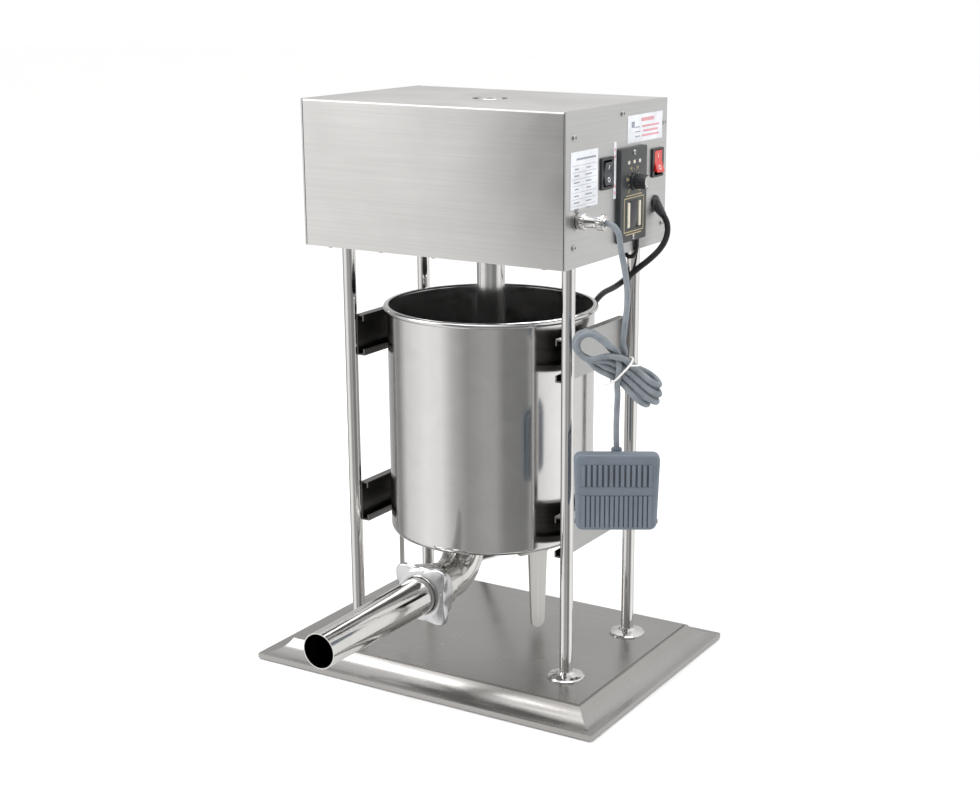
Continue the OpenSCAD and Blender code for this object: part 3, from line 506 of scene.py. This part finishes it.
def make_plug():
    """Moulded plug with two round pins, raised grip bars on top and a ribbed, tapered strain relief."""
    at = tail_start + tail_ahead * PLUG_OUT + Vector((0, 0, PLUG_Z))
    axes = Matrix((-tail_side, Vector((0, 0, 1)), tail_ahead)).transposed().to_4x4()
    place = Matrix.Translation(at) @ axes
    n = 28
    relief = [circle(0.0046, 0, n)]
    for k in range(9):
        z = 0.002 + 0.0022 * k
        r = 0.0047 + 0.00028 * k - (0.0007 if k % 2 else 0)
        relief += [circle(r, z, n), circle(r, z + 0.0016, n)]
    body = []
    for z, w, h in (
        (0.021, 0.0140, 0.0130), (0.023, 0.0200, 0.0150), (0.026, 0.0245, 0.0170), (0.030, 0.0258, 0.0178),
        (0.040, 0.0258, 0.0178), (0.046, 0.0250, 0.0174), (0.0485, 0.0240, 0.0168), (0.050, 0.0225, 0.0154),
    ):
        body.append(rounded(w, h, min(w, h) * 0.4, z, 6))
    grips = []
    for k in range(4):
        bar = moved(block(0.016, 0.0016, 0.0012, 0.0004, 0.0007), Matrix.Rotation(-TAU / 4, 4, "X"))
        grips.append(moved(bar, shift(0, 0.0086, 0.031 + 0.0032 * k)))
    pin = revolve([(0.0024, 0), (0.0024, 0.0165), (0.0019, 0.0182), (0.0009, 0.019)], 24)
    pins = [moved(pin, shift(x, 0, 0.0495)) for x in (-0.0095, 0.0095)]
    shape = moved(join(loft(relief), loft(body), *grips), place)
    plug = piece("mains_plug", *shape, "frame", black_plastic, "black_cord")
    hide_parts("power_plug")
    metal = piece("mains_plug_pins", *moved(join(*pins), place), "frame", screw_steel, "plated_steel")
    metal.parent = plug
    metal.matrix_parent_inverse = plug.matrix_world.inverted()
    return plug


def make_gland():
    """Tapered strain relief with a flange and ribs, leaving the panel outwards and down."""
    tilt = math.radians(50)
    at = Vector((side_x, *GLAND))
    direction = Vector((math.cos(tilt), 0, -math.sin(tilt)))
    side = Vector((0, 1, 0))
    place = Matrix.Translation(at) @ Matrix((side, direction.cross(side) * -1, direction)).transposed().to_4x4()
    rings = []
    for k in range(15):
        t = k / 14
        z = 0.001 + 0.0185 * t
        r = 0.0078 - 0.0031 * t
        rings.append(circle(r - (0.0009 if k % 2 else 0), z, 32))
    cone = moved(loft(rings), place)
    flange = revolve([(0.0095, 0), (0.0095, 0.0018), (0.0088, 0.003), (0.0065, 0.0042)], 40)
    flange = moved(flange, across("right", at))
    gland = piece("strain_relief", *join(cone, flange), "frame", black_plastic, "black_plastic")
    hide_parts("cord_gland")
    return gland


def make_coil_tie():
    """Twist tie round the coil's turns."""
    a = math.radians(215)
    out = Vector((math.cos(a), math.sin(a), 0))
    centre = COIL_AT + out * sum(COIL_TURNS) / 2 + Vector((0, 0, MAINS_D))
    loop = []
    for x, y, _ in rounded(0.0172, 0.0160, 0.004, 0, 5):
        loop.append(centre + out * x + Vector((0, 0, max(y, 0.0008 - MAINS_D))))
    return piece("coil_tie", *tube_along(loop, 0.0007, 8, hoop=True), "frame", tie_white, "black_cord")


HANK_AT = Vector((0.230, -0.097, 0.427))
HANK_TILT = math.radians(37)
hank_axes = Matrix.Rotation(FOOT_TURN, 4, "Z") @ Matrix.Rotation(HANK_TILT, 4, "Y")
hank_frame = Matrix.Translation(HANK_AT) @ hank_axes

foot_points = [
    (0.212, -0.0976, 0.591), (0.218, -0.0976, 0.590), (0.223, -0.0976, 0.587), (0.227, -0.0975, 0.581),
    (0.229, -0.0974, 0.572), (0.232, -0.0972, 0.556), (0.236, -0.097, 0.538), (0.239, -0.097, 0.518),
    (0.239, -0.097, 0.498), (0.237, -0.097, 0.480), (0.235, -0.097, 0.464), (0.234, -0.097, 0.452),
]
drop_points = [
    (0.2285, -0.0965, 0.390), (0.2265, -0.094, 0.372), (0.225, -0.0915, 0.356),
    (0.2245, -0.090, 0.342), (0.2245, -0.0893, 0.330),
]


HANK_TIE_X = 0.004
HANK_FOLD = 0.0142
HANK_LOOPS = [
    # from the lowest strand up: right fold's middle along the hank, then the left fold's, its height, size and depth
    (0.0385, -0.0440, -0.0004, 0.0148, 0.0100), (0.0450, -0.0462, 0.0002, 0.0146, 0.0034),
    (0.0420, -0.0436, 0.0010, 0.0144, -0.0034), (0.0350, -0.0456, 0.0016, 0.0142, -0.0100),
]


def hank_points():
    """Way in, four loops and way out, as places along the hank, across it, and front to back."""
    made = [(-0.0060, 0.0138, 0.0010), (0.0005, 0.0056, 0.0070), (0.0075, -0.0030, 0.0108)]
    for k, (right, left, centre, fold, deep) in enumerate(HANK_LOOPS):
        waist = -0.0112 + 0.0075 * k
        tip = -0.0130 + 0.0087 * k
        if k:
            made.append((HANK_TIE_X, waist, 0.0038))
        made.append((0.020, (waist + tip) / 2, 0.0085 if k else 0.0118))
        for a in (100, 67, 33, 0, -33, -67, -100):
            a = math.radians(a)
            made.append((right + HANK_FOLD * math.cos(a), tip + 0.0012 * math.sin(a), HANK_FOLD * math.sin(a)))
        made.append((0.020, (waist + tip) / 2, -0.0085))
        made.append((HANK_TIE_X, waist, -0.0038))
        made.append((-0.014, waist - 0.0022, -0.0055 + deep * 0.2))
        made.append((left + 0.012, centre - fold + 0.0012, deep * 0.8))
        for a in (250, 215, 180, 145, 110):
            a = math.radians(a)
            made.append((left + fold * math.cos(a), centre + fold * math.sin(a), deep))
        made.append((left + 0.016, centre + fold - 0.0008, deep * 0.85))
        made.append((-0.013, 0.0105 + 0.0008 * k, deep * 0.5 + 0.003))
    made += [
        (-0.0060, 0.0078, -0.0080), (-0.0005, 0.0000, -0.0112), (0.0045, -0.0072, -0.0110),
        (0.0090, -0.0137, -0.0085), (0.0125, -0.0183, -0.0045),
    ]
    return [hank_frame @ Vector((x, deep, high)) for x, high, deep in made]


def beside(values):
    """Sum of each row's two neighbours."""
    return np.roll(values, 1, axis=0) + np.roll(values, -1, axis=0)


def settle(path, first, last, gap):
    """The path with its strands pressed apart until they lie beside each other, its two ends kept."""
    # points that are close along the path don't press on each other, and the pressing fades out at both ends
    rounds, own_run, fade = 96, 9, 8
    at = np.array([tuple(p) for p in path])
    steps = np.arange(len(at))
    apart = np.abs(np.subtract.outer(steps, steps)) > own_run
    free = np.clip(np.minimum(steps - first, last - steps) / fade, 0, 1)[:, None]
    for turn in range(rounds):
        away = at[:, None] - at[None]
        far = np.linalg.norm(away, axis=2) + 1e-9
        push = np.where(apart & (far < gap), (gap - far) / far, 0)[:, :, None] * away
        moves = free * push.sum(axis=1) * 0.30
        for _ in range(3):
            moves = (moves + beside(moves)) / 3
        at += moves * 1.6
        if turn % 12 == 0 and turn < rounds - 24:
            at += free * (beside(at) / 2 - at) * 0.5
    return [Vector(p) for p in at]


def even(path, step):
    """The same path with its points at even steps."""
    at = np.array([tuple(p) for p in path])
    along = np.concatenate([[0], np.cumsum(np.linalg.norm(np.diff(at, axis=0), axis=1))])
    places = np.linspace(0, along[-1], round(along[-1] / step) + 1)
    return [Vector(p) for p in np.stack([np.interp(places, along, at[:, k]) for k in range(3)], axis=1)]


def make_foot_cord():
    """Foot switch's cord: down from its connector, round the hank's loops and down to the switch."""
    path = even(smooth_path(foot_points[:-1] + hank_points() + drop_points, 0.0005), 0.003)
    path = even(settle(path, 34, len(path) - 14, FOOT_D * 1.02), 0.0035)
    cord = cord_curve("foot_switch_cord", path, FOOT_D, grey_sheath)
    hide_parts("foot_cord", "foot_cord_hank", "foot_drop_cord")
    return cord, path


def make_hank_tie():
    """White tie round the middle of the hank, with its two short ends."""
    loop = []
    for x, y, _ in rounded(0.0310, 0.0365, 0.012, 0, 6):
        loop.append(hank_frame @ Vector((HANK_TIE_X + y * 0.10, x, y)))
    tie = tube_along(loop, 0.0012, 10, hoop=True)
    ends = []
    for start, reach in (
        ((0.0055, -0.0150, 0.0125), (0.0160, -0.0175, 0.0225)),
        ((0.0025, -0.0150, -0.0125), (-0.0040, -0.0165, -0.0225)),
    ):
        start, end = hank_frame @ Vector(start), hank_frame @ Vector(reach)
        bend = (start + end) / 2 + hank_frame.to_3x3() @ Vector((0, -0.002, 0))
        ends.append(tube_along(smooth_path([start, bend, end], 0.002), 0.0010, 8))
    return piece("hank_tie", *join(tie, *ends), "frame", tie_white, "grey_cord")


make_mains()
foot_cord, foot_path = make_foot_cord()
hank_tie = make_hank_tie()


# ---------------------------------------------------------------- outlet nut

NUT_BACK_Y = -0.142
NUT_THICK = 0.027
NUT_BORE, NUT_LIP, NUT_HUB = 0.0285, 0.024, 0.0325
NUT_LIP_Z = 0.0183
NUT_HOLLOW, NUT_LOBE = 0.0338, 0.0122


def nut_outline(inset, z, flare, n):
    """Four lobes with wide hollows between them, at a share of their full flare."""
    points = []
    for k in range(n):
        a = TAU * k / n
        lobe = ((1 - math.cos(4 * a)) / 2) ** 2
        r = NUT_HOLLOW + NUT_LOBE * lobe * flare - inset
        points.append((r * math.cos(a), r * math.sin(a), z))
    return points


def make_wing_nut():
    """Cast and polished nut that clamps the filling tube on the elbow."""
    n = 160
    rings = [
        circle(NUT_BORE, -0.002, n), circle(NUT_BORE, NUT_LIP_Z, n), circle(NUT_LIP, NUT_LIP_Z, n),
        circle(NUT_LIP, NUT_THICK + 0.001, n), circle(NUT_LIP + 0.0005, NUT_THICK + 0.0015, n),
        circle(NUT_HUB - 0.0025, NUT_THICK + 0.0015, n), circle(NUT_HUB - 0.0012, NUT_THICK + 0.0008, n),
    ]
    for inset, z, flare in (
        (0.0026, 0.0262, 1.0), (0.0013, 0.0259, 1.0), (0.0004, 0.0250, 1.0), (0.0, 0.0236, 1.0), (0.0, 0.0196, 1.0),
        (0.0003, 0.0180, 0.97), (0.0006, 0.0164, 0.86), (0.0008, 0.0142, 0.66), (0.0010, 0.0112, 0.46),
        (0.0012, 0.0076, 0.34), (0.0013, 0.0036, 0.30), (0.0018, 0.0014, 0.27), (0.0028, 0.0006, 0.2),
    ):
        rings.append(nut_outline(inset, z, flare, n))
    rings += [circle(NUT_HUB - 0.0015, 0.0, n), circle(NUT_HUB - 0.002, -0.002, n)]
    place = across("front", Vector((0, NUT_BACK_Y, axis_z)))
    nut = piece("outlet_nut", *moved(loft(rings, hoop=True), place), "wing_nut", cast_steel, "polished_steel", 50)
    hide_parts("wing_nut")


# ---------------------------------------------------------------- controls on the right-hand panel

DIAL = (0.032, 0.6065)
KNOB = (0.032, 0.622)
CONNECTOR = (-0.0976, 0.591)
DIRECTION_SWITCH, POWER_SWITCH = (-0.028, 0.637), (0.103, 0.637)
RATING_PLATE, CAUTION_PLATE, STRIP = (-0.081, 0.636), (0.070, 0.682), (-0.007, 0.638)
PANEL_SCREWS = ((-0.105, 0.684), (-0.105, 0.561), (0.011, 0.702), (0.120, 0.684), (0.120, 0.561))
PLATE_THICK = 0.006
FILM_THICK = 0.00049


def on_panel(y, z, out=0.0):
    """Frame on the right-hand panel's face at a place on it, its +Z outwards."""
    return across("right", Vector((side_x + out, y, z)))


def digits(text, size, depth):
    """Raised figures, centred on their own origin."""
    data = bpy.data.curves.new("figures", "FONT")
    data.body = text
    data.size = size
    data.extrude = depth / 2
    data.align_x = data.align_y = "CENTER"
    obj = bpy.data.objects.new("figures", data)
    mesh = bpy.data.meshes.new_from_object(obj)
    shape = [v.co.copy() for v in mesh.vertices], [tuple(p.vertices) for p in mesh.polygons]
    bpy.data.objects.remove(obj)
    bpy.data.meshes.remove(mesh)
    bpy.data.curves.remove(data)
    return shape


def frame_bars(w, h, line, depth):
    """Four thin bars round a rectangle."""
    flat = block(w, line, depth, 0.0001, 0.0002)
    upright = block(line, h - 2 * line, depth, 0.0001, 0.0002)
    bars = []
    for s in (-1, 1):
        bars += [moved(flat, shift(0, s * (h - line) / 2, 0)), moved(upright, shift(s * (w - line) / 2, 0, 0))]
    return join(*bars)


def cross_screw(r, h):
    """Pan head with a cross recess, as a head and a dark cross of painted shade for the recess."""
    profile = ((1, 0), (1, 0.35), (0.92, 0.62), (0.7, 0.86), (0.35, 0.98), (0, 1))
    head = revolve([(r * x, h * z) for x, z in profile], 32)
    bar = block(r * 1.15, r * 0.26, h * 0.12, 0.00005, 0.0001)
    arms = [moved(bar, shift(0, 0, h * 0.93) @ Matrix.Rotation(a + 0.4, 4, "Z")) for a in (0, TAU / 4)]
    return head, join(*arms)


def make_speed_control():
    """Speed control: dark face with an outlined window, figures round the dial and two screws."""
    place = on_panel(*DIAL)
    face = block(0.068, 0.111, PLATE_THICK, 0.0012, 0.0025, 5)
    case = moved(block(0.056, 0.099, 0.052, 0.0005, 0.002), shift(0, 0, -0.052))
    control = piece("speed_control", *moved(join(face, case), place), "frame", plate_black, "black_plastic")
    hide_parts("speed_controller")

    def at(x, y, out=PLATE_THICK - 0.0001):
        return shift(x, y, out)

    window_y = -0.0235
    gold = [moved(frame_bars(0.050, 0.041, 0.0010, 0.0005), at(0, window_y))]
    gold += [moved(block(0.040, 0.0011, 0.0005, 0.0001, 0.0003), at(0, y)) for y in (-0.0005, -0.0465)]
    tick = block(0.0022, 0.0007, 0.0004, 0.0001, 0.0002)
    x, y = KNOB[0] - DIAL[0], KNOB[1] - DIAL[1]
    for tens in range(11):
        a = math.radians(220 - 26 * tens)
        gold.append(moved(tick, at(x, y) @ Matrix.Rotation(a, 4, "Z") @ shift(0.0138, 0, 0)))
        if tens % 2 == 0:
            spot = at(x + 0.0182 * math.cos(a), y + 0.0172 * math.sin(a), PLATE_THICK + 0.0001)
            gold.append(moved(digits(str(10 * tens), 0.0052, 0.0004), spot))
    bars = [moved(block(0.0050, 0.030, 0.0016, 0.0004, 0.0008), at(x, window_y)) for x in (-0.0140, 0.0140)]
    bars += [moved(block(0.0052, 0.0040, 0.0004, 0.0001, 0.0004), at(x, 0.0385)) for x in (-0.014, 0.0, 0.014)]
    window = moved(block(0.0195, 0.033, 0.0009, 0.0003, 0.0008), at(0, window_y))
    piece("dial_lines", *moved(join(*gold), place), "frame", gold_line, "label_film")
    piece("window_bars", *moved(join(*bars), place), "frame", cream, "label_film")
    piece("dial_window", *moved(window, place), "frame", black_window_and_recess_shade, "black_plastic")
    head, cross = cross_screw(0.0033, 0.0018)
    heads = [moved(head, at(0, y)) for y in (0.0495, -0.0505)]
    crosses = [moved(cross, at(0, y)) for y in (0.0495, -0.0505)]
    piece("control_screws", *moved(join(*heads), place), "frame", screw_steel, "plated_steel")
    # painted shade: dark crosses stand in for the shade inside the screws' recesses
    piece("control_screw_recess_shade", *moved(join(*crosses), place), "frame", black_window_and_recess_shade, "black_plastic")


def make_knob():
    """Fluted black knob with a bright cap and a white pointer line."""
    n = 96
    flute = 0.0006
    # radius, height and how deep the flutes are there
    profile = (
        (0.003, -0.002, 0), (0.003, 0.0063, 0), (0.0105, 0.0063, 0), (0.0107, 0.0072, 0), (0.0102, 0.0083, 0),
        (0.0090, 0.0088, flute), (0.0087, 0.0215, flute), (0.0080, 0.0234, 0), (0.0072, 0.0238, 0),
    )
    rings = [notched(r, z, depth, 6, n) for r, z, depth in profile]
    place = on_panel(*KNOB)
    knob = piece("speed_dial_knob", *moved(loft(rings), place), "speed_knob", black_plastic, "black_plastic", 40)
    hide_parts("speed_knob")
    cap = revolve([(0.0071, 0.0236), (0.0071, 0.0242), (0.0062, 0.0246), (0.003, 0.0245), (0, 0.0245)], 48)
    piece("knob_cap", *moved(cap, place), "speed_knob", screw_steel, "plated_steel")
    pointer_place = shift(-0.0044, -0.0052, 0.0244) @ Matrix.Rotation(-0.7, 4, "Z")
    pointer = moved(block(0.0009, 0.0050, 0.0004, 0.0001, 0.0003), pointer_place)
    piece("knob_pointer", *moved(pointer, place), "speed_knob", paper, "label_film")


def make_rocker_marks():
    """Plain bar and ring marks on the two rockers' halves; the power rocker rests tipped."""
    slope = math.radians(10.3)
    bar = block(0.0012, 0.0050, 0.0003, 0.0001, 0.0003)
    ring = revolve([(0.0020, 0), (0.0020, 0.0003), (0.0030, 0.0003), (0.0030, 0)], 32, hoop=True)
    for body, at, tilt in (("direction_rocker", DIRECTION_SWITCH, 0), ("power_rocker", POWER_SWITCH, -9)):
        pivot = Vector((side_x - 0.004, *at))
        turn = Matrix.Translation(pivot) @ Matrix.Rotation(math.radians(tilt), 4, "Y") @ Matrix.Translation(-pivot)
        upper = on_panel(*at) @ shift(0, 0.0072, 0.00385) @ Matrix.Rotation(slope, 4, "X")
        lower = on_panel(*at) @ shift(0, -0.0072, 0.00385) @ Matrix.Rotation(-slope, 4, "X")
        piece(body + "_marks", *join(moved(bar, turn @ upper), moved(ring, turn @ lower)), body, paper, "label_film")


def make_print():
    """Plain rules and colour blocks on the three blank plates."""
    def bar(y, z, w, h):
        return moved(block(w, h, 0.00012, 0.00003, 0.0001), on_panel(y, z, FILM_THICK))

    grey, pink = [], []
    plate_y, plate_z = RATING_PLATE
    grey.append(bar(plate_y + 0.004, plate_z + 0.0235, 0.046, 0.0022))
    for k in range(7):
        z = plate_z + 0.0165 - 0.0075 * k
        grey.append(bar(plate_y, z, 0.056, 0.0004))
        grey.append(bar(plate_y - 0.018, z - 0.0038, 0.009 + 0.002 * (k % 3), 0.0016))
        grey.append(bar(plate_y + 0.010, z - 0.0038, 0.010 + 0.003 * (k * 2 % 3), 0.0014))
    caution_y, caution_z = CAUTION_PLATE
    pink.append(bar(caution_y + 0.006, caution_z + 0.0095, 0.034, 0.0042))
    grey.append(bar(caution_y - 0.032, caution_z + 0.0050, 0.008, 0.0070))
    for k in range(3):
        z = caution_z + 0.0015 - 0.0055 * k
        grey.append(bar(caution_y - 0.020, z, 0.013, 0.0012))
        pink.append(bar(caution_y + 0.014, z, 0.046 - 0.006 * (k % 2), 0.0024))
    pink += [bar(STRIP[0], STRIP[1] + z, 0.0036, 0.0036) for z in (0.024, 0.016, -0.018, -0.026)]
    piece("plate_rules", *join(*grey), "frame", ink_grey, "label_film")
    piece("plate_blocks", *join(*pink), "frame", ink_pink, "label_film")


def make_connector():
    """Foot switch's round connector: knurled coupling ring, slim barrel and knurled clamp ring."""
    n = 96
    knurl = 0.0004
    # radius, height and how deep the knurling is there
    profile = (
        (0.0060, 0.0035, 0), (0.0096, 0.0035, 0), (0.0100, 0.0042, knurl), (0.0100, 0.0112, knurl),
        (0.0094, 0.0120, 0), (0.0076, 0.0124, 0), (0.0070, 0.0135, 0), (0.0068, 0.0270, 0), (0.0078, 0.0278, 0),
        (0.0090, 0.0288, knurl), (0.0090, 0.0352, knurl), (0.0084, 0.0360, 0), (0.0058, 0.0364, 0),
        (0.0050, 0.0380, 0),
    )
    rings = [notched(r, z, depth, 4, n) for r, z, depth in profile]
    shape = moved(loft(rings), on_panel(*CONNECTOR))
    plug = piece("foot_connector", *shape, "frame", mirror_steel, "plated_steel", 40)
    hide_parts("foot_plug")
    return plug


def make_seam_shadow_strips():
    """Dark strips of painted shade in the gaps between the folded cover and the two side panels."""
    wide, tall = cover_high.y - cover_low.y, cover_high.z - cover_low.z
    half = 0.0005
    outer, inner = (0.0006, 0.003), (0.003, 0.001)
    rings = [
        rounded(wide - 2 * inset, tall - 2 * inset, corner, z)
        for (inset, corner), z in ((outer, -half), (outer, half), (inner, half), (inner, -half))
    ]
    for name, x in (("right", side_x - 0.0025), ("left", left_x + 0.0025)):
        place = across("right", Vector((x, (cover_low.y + cover_high.y) / 2, (cover_low.z + cover_high.z) / 2)))
        # each strip is painted shade, darkening its gap
        piece(name + "_seal", *moved(loft(rings, hoop=True), place), "frame", rubber_and_gap_shade, "black_plastic")


def make_panel_screw_shade_crosses():
    """Dark crosses of painted shade on the heads of the side panels' screws, for their cross recesses."""
    bar = block(0.0040, 0.0009, 0.0003, 0.0001, 0.0002)
    arms = []
    for y, z in PANEL_SCREWS:
        for facing, x in (("right", side_x), ("left", left_x)):
            for a in (0, TAU / 4):
                # each screw is left at its own angle
                spin = Matrix.Rotation(a + 0.5 + 30 * (y + z), 4, "Z")
                arms.append(moved(bar, across(facing, Vector((x, y, z))) @ shift(0, 0, 0.0022) @ spin))
    piece("panel_screw_recess_shade", *join(*arms), "frame", black_window_and_recess_shade, "plated_steel")


# ---------------------------------------------------------------- foot switch

def make_pedal():
    """Treadle: a rounded cap with two fields of upright ribs, over dark fields of painted shade between them."""
    place = foot_frame @ across("front", Vector((0, 0, 0)))
    w, h, taper = 0.100, 0.092, 0.06
    wall, front, back, floor_z = 0.0026, 0.0125, -0.002, 0.0085
    rings = [
        rounded(w - 2 * wall, h - 2 * wall, 0.006, floor_z, 6, taper),
        rounded(w - 2 * wall, h - 2 * wall, 0.006, back, 6, taper),
        rounded(w, h, 0.0085, back, 6, taper),
    ]
    edge = 0.0045
    for k in range(6):
        a = k / 5 * TAU / 4
        inset = edge * (1 - math.cos(a))
        z = front - edge + edge * math.sin(a)
        rings.append(rounded(w - 2 * inset, h - 2 * inset, 0.0085 - inset * 0.4, z, 6, taper))
    on_top = front - 0.0002
    dark, ribs = [], []
    for mid, tall, wide, count in ((0.0205, 0.026, 0.082, 12), (-0.0225, 0.038, 0.084, 14)):
        lean = 1 - taper * (0.5 - mid / h)
        # painted shade: a dark field under each row of ribs darkens the grooves between them
        dark.append(moved(block(wide * lean, tall, 0.0006, 0.0002, 0.003), shift(0, mid, on_top)))
        rib = block(0.0042, tall + 0.0006, 0.0020, 0.0008, 0.0018, 4)
        for k in range(count + 1):
            x = (k / count - 0.5) * (wide - 0.0034)
            ribs.append(moved(rib, shift(x * lean, mid, on_top)))
    bridge = moved(block(0.084, 0.0105, 0.0009, 0.0004, 0.002, 4), shift(0, 0.0020, on_top))
    shape = moved(join(loft(rings), bridge, *ribs), place)
    pedal = piece("treadle", *shape, "foot_pedal", pedal_plastic, "grey_plastic", 40)
    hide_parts("foot_pedal")
    slots = piece("treadle_slot_shade", *moved(join(*dark), place), "foot_pedal", slot_shade, "grey_plastic")
    return pedal, slots


make_wing_nut()
make_speed_control()
make_knob()
make_rocker_marks()
make_print()
connector = make_connector()
make_seam_shadow_strips()
make_panel_screw_shade_crosses()
treadle, treadle_slot_shade = make_pedal()


# ---------------------------------------------------------------- light and floor

def flat_card(name, corners, surface):
    """Four-sided card, for the studio."""
    mesh = bpy.data.meshes.new(name)
    mesh.from_pydata(corners, [], [(0, 1, 2, 3)])
    mesh.materials.append(surface.mat)
    card = bpy.data.objects.new(name, mesh)
    bpy.context.scene.collection.objects.link(card)
    return card


def make_floor():
    """Plain pale floor, which reflections don't see: they see the world's lower walls."""
    s = Surface(
        "floor", (0.95, 0.95, 0.95), 0.7, Specular_IOR_Level=0.1,
        Emission_Color=(1, 1, 1, 1), Emission_Strength=0.05,
    )
    s.tint(s.noise((3, 3, 3)), 0.99, 1.01)
    size, z = 12, -0.0005
    floor = flat_card("floor", [(-size, -size, z), (size, -size, z), (size, size, z), (-size, size, z)], s)
    floor.visible_glossy = False


def area_light(name, at, target, size, power):
    data = bpy.data.lights.new(name, "AREA")
    data.shape = "RECTANGLE"
    data.size, data.size_y = size
    data.energy = power
    light = bpy.data.objects.new(name, data)
    light.location = at
    light.rotation_euler = (Vector(target) - Vector(at)).to_track_quat("-Z", "Y").to_euler()
    light.visible_camera = False
    bpy.context.scene.collection.objects.link(light)


ROOM_FRONT = -58.4


def make_world():
    """White room for the camera; reflections see its light and dark walls, by compass direction."""
    world = bpy.data.worlds.new("studio")
    world.use_nodes = True
    bpy.context.scene.world = world
    tree = world.node_tree

    def along(x, y):
        return add_node(tree, "VectorMath", {0: direction, 1: (x, y, 0)}, operation="DOT_PRODUCT").outputs["Value"]

    direction = add_node(tree, "TexCoord").outputs["Generated"]
    front = math.radians(ROOM_FRONT)
    ahead, sideways = along(math.cos(front), math.sin(front)), along(-math.sin(front), math.cos(front))
    turn = add_node(tree, "Math", {0: sideways, 1: ahead}, operation="ARCTAN2").outputs[0]
    whole = {"Value": turn, "From Min": -math.pi, "From Max": math.pi}
    walls = add_node(tree, "ValToRGB", {"Fac": add_node(tree, "MapRange", whole).outputs["Result"]})
    # brightness of the walls by angle from the room's front
    stops = [
        (-180, 0.70), (-145, 0.40), (-124, 0.34), (-110, 0.90), (-78, 1.20), (-58, 1.12), (-44, 0.66),
        (-27, 0.40), (-8, 0.50), (4, 0.50), (14, 0.30), (40, 0.26), (52, 1.00), (80, 1.30), (112, 1.00), (180, 0.70),
    ]
    ramp = walls.color_ramp
    while len(ramp.elements) < len(stops):
        ramp.elements.new(0.5)
    for element, (angle, value) in zip(ramp.elements, stops):
        element.position = (angle + 180) / 360
        element.color = (value, value * 0.995, value * 0.985, 1)
    height = add_node(tree, "SeparateXYZ", {"Vector": direction}).outputs["Z"]
    rise = add_node(tree, "MapRange", {"Value": height, "From Min": 0.35, "From Max": 0.8}).outputs["Result"]
    room = mix_colors(tree, rise, walls.outputs["Color"], (1.15, 1.15, 1.15, 1))
    seen = add_node(tree, "LightPath").outputs["Is Camera Ray"]
    shown = mix_colors(tree, seen, room, (1, 1, 1, 1))
    tree.links.new(shown, tree.nodes["Background"].inputs["Color"])


def make_flag():
    """Grey card that the camera doesn't see, for the soft falloff across the head's front."""
    corners = [(-0.13, -0.50, 0.47), (0.60, -0.62, 0.47), (0.60, -0.62, 0.86), (-0.13, -0.50, 0.86)]
    flag = flat_card("flag", corners, Surface("flag", (0.16, 0.16, 0.16), 0.9, Specular_IOR_Level=0.0))
    flag.visible_camera = flag.visible_shadow = flag.visible_diffuse = False


def make_light():
    make_floor()
    make_world()
    area_light("key", (-1.7, -1.3, 1.7), (0, 0, 0.4), (1.0, 1.6), 22)
    area_light("top", (0.2, -0.2, 2.6), (0, 0, 0.4), (2.2, 2.2), 30)
    area_light("under_head", (0.03, 0.07, 0.523), (-0.01, -0.03, 0.2), (0.16, 0.06), 0.35)
    make_flag()
    bpy.context.scene.view_settings.view_transform = "Standard"


make_light()


# ---------------------------------------------------------------- CAD nodes that keep their shape

def paint_nodes():
    """Gives every carried-over CAD node its surface."""
    table = {
        barrel_steel: ["barrel", "piston_rod", "piston_plate"],
        mirror_steel: ["post_front_left", "post_front_right", "post_back_left", "post_back_right", "post_collars"],
        tube_steel: ["outlet_elbow", "filling_tube"],
        cover_steel: ["head_cover"],
        panel_steel: ["right_panel", "left_panel"],
        base_steel: ["base_skin"],
        leg_steel: ["barrel_legs", "barrel_lugs"],
        rail_steel: ["rail_upper_left", "rail_upper_right", "rail_lower_left", "rail_lower_right"],
        screw_steel: ["panel_screws", "post_nuts", "piston_nut", "foot_socket", "shaft_bearings", "drive_shaft"],
        gear_steel: ["rack_pinion", "drive_gear", "motor_pinion"],
        plate_steel: ["deck_plate", "upper_guide", "bearing_plate_left", "bearing_plate_right", "motor_bracket"],
        bronze: ["rod_bush", "air_valve"],
        white_seal: ["nozzle_gasket", "piston_seal"],
        black_plastic: ["direction_switch", "power_switch"],
        rocker_black: ["direction_rocker"],
        red_rocker_glow: ["power_rocker"],
        pedal_plastic: ["foot_switch"],
        black_sheath: ["controller_lead"],
        paper: ["label_plates"],
        rubber_and_gap_shade: ["anti_slip_mat"],
        motor_paint: ["gear_motor"],
        board(): ["base_core"],
    }
    for surface, names in table.items():
        for name in names:
            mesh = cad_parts[name].data
            mesh.materials.clear()
            mesh.materials.append(surface.mat)


paint_nodes()
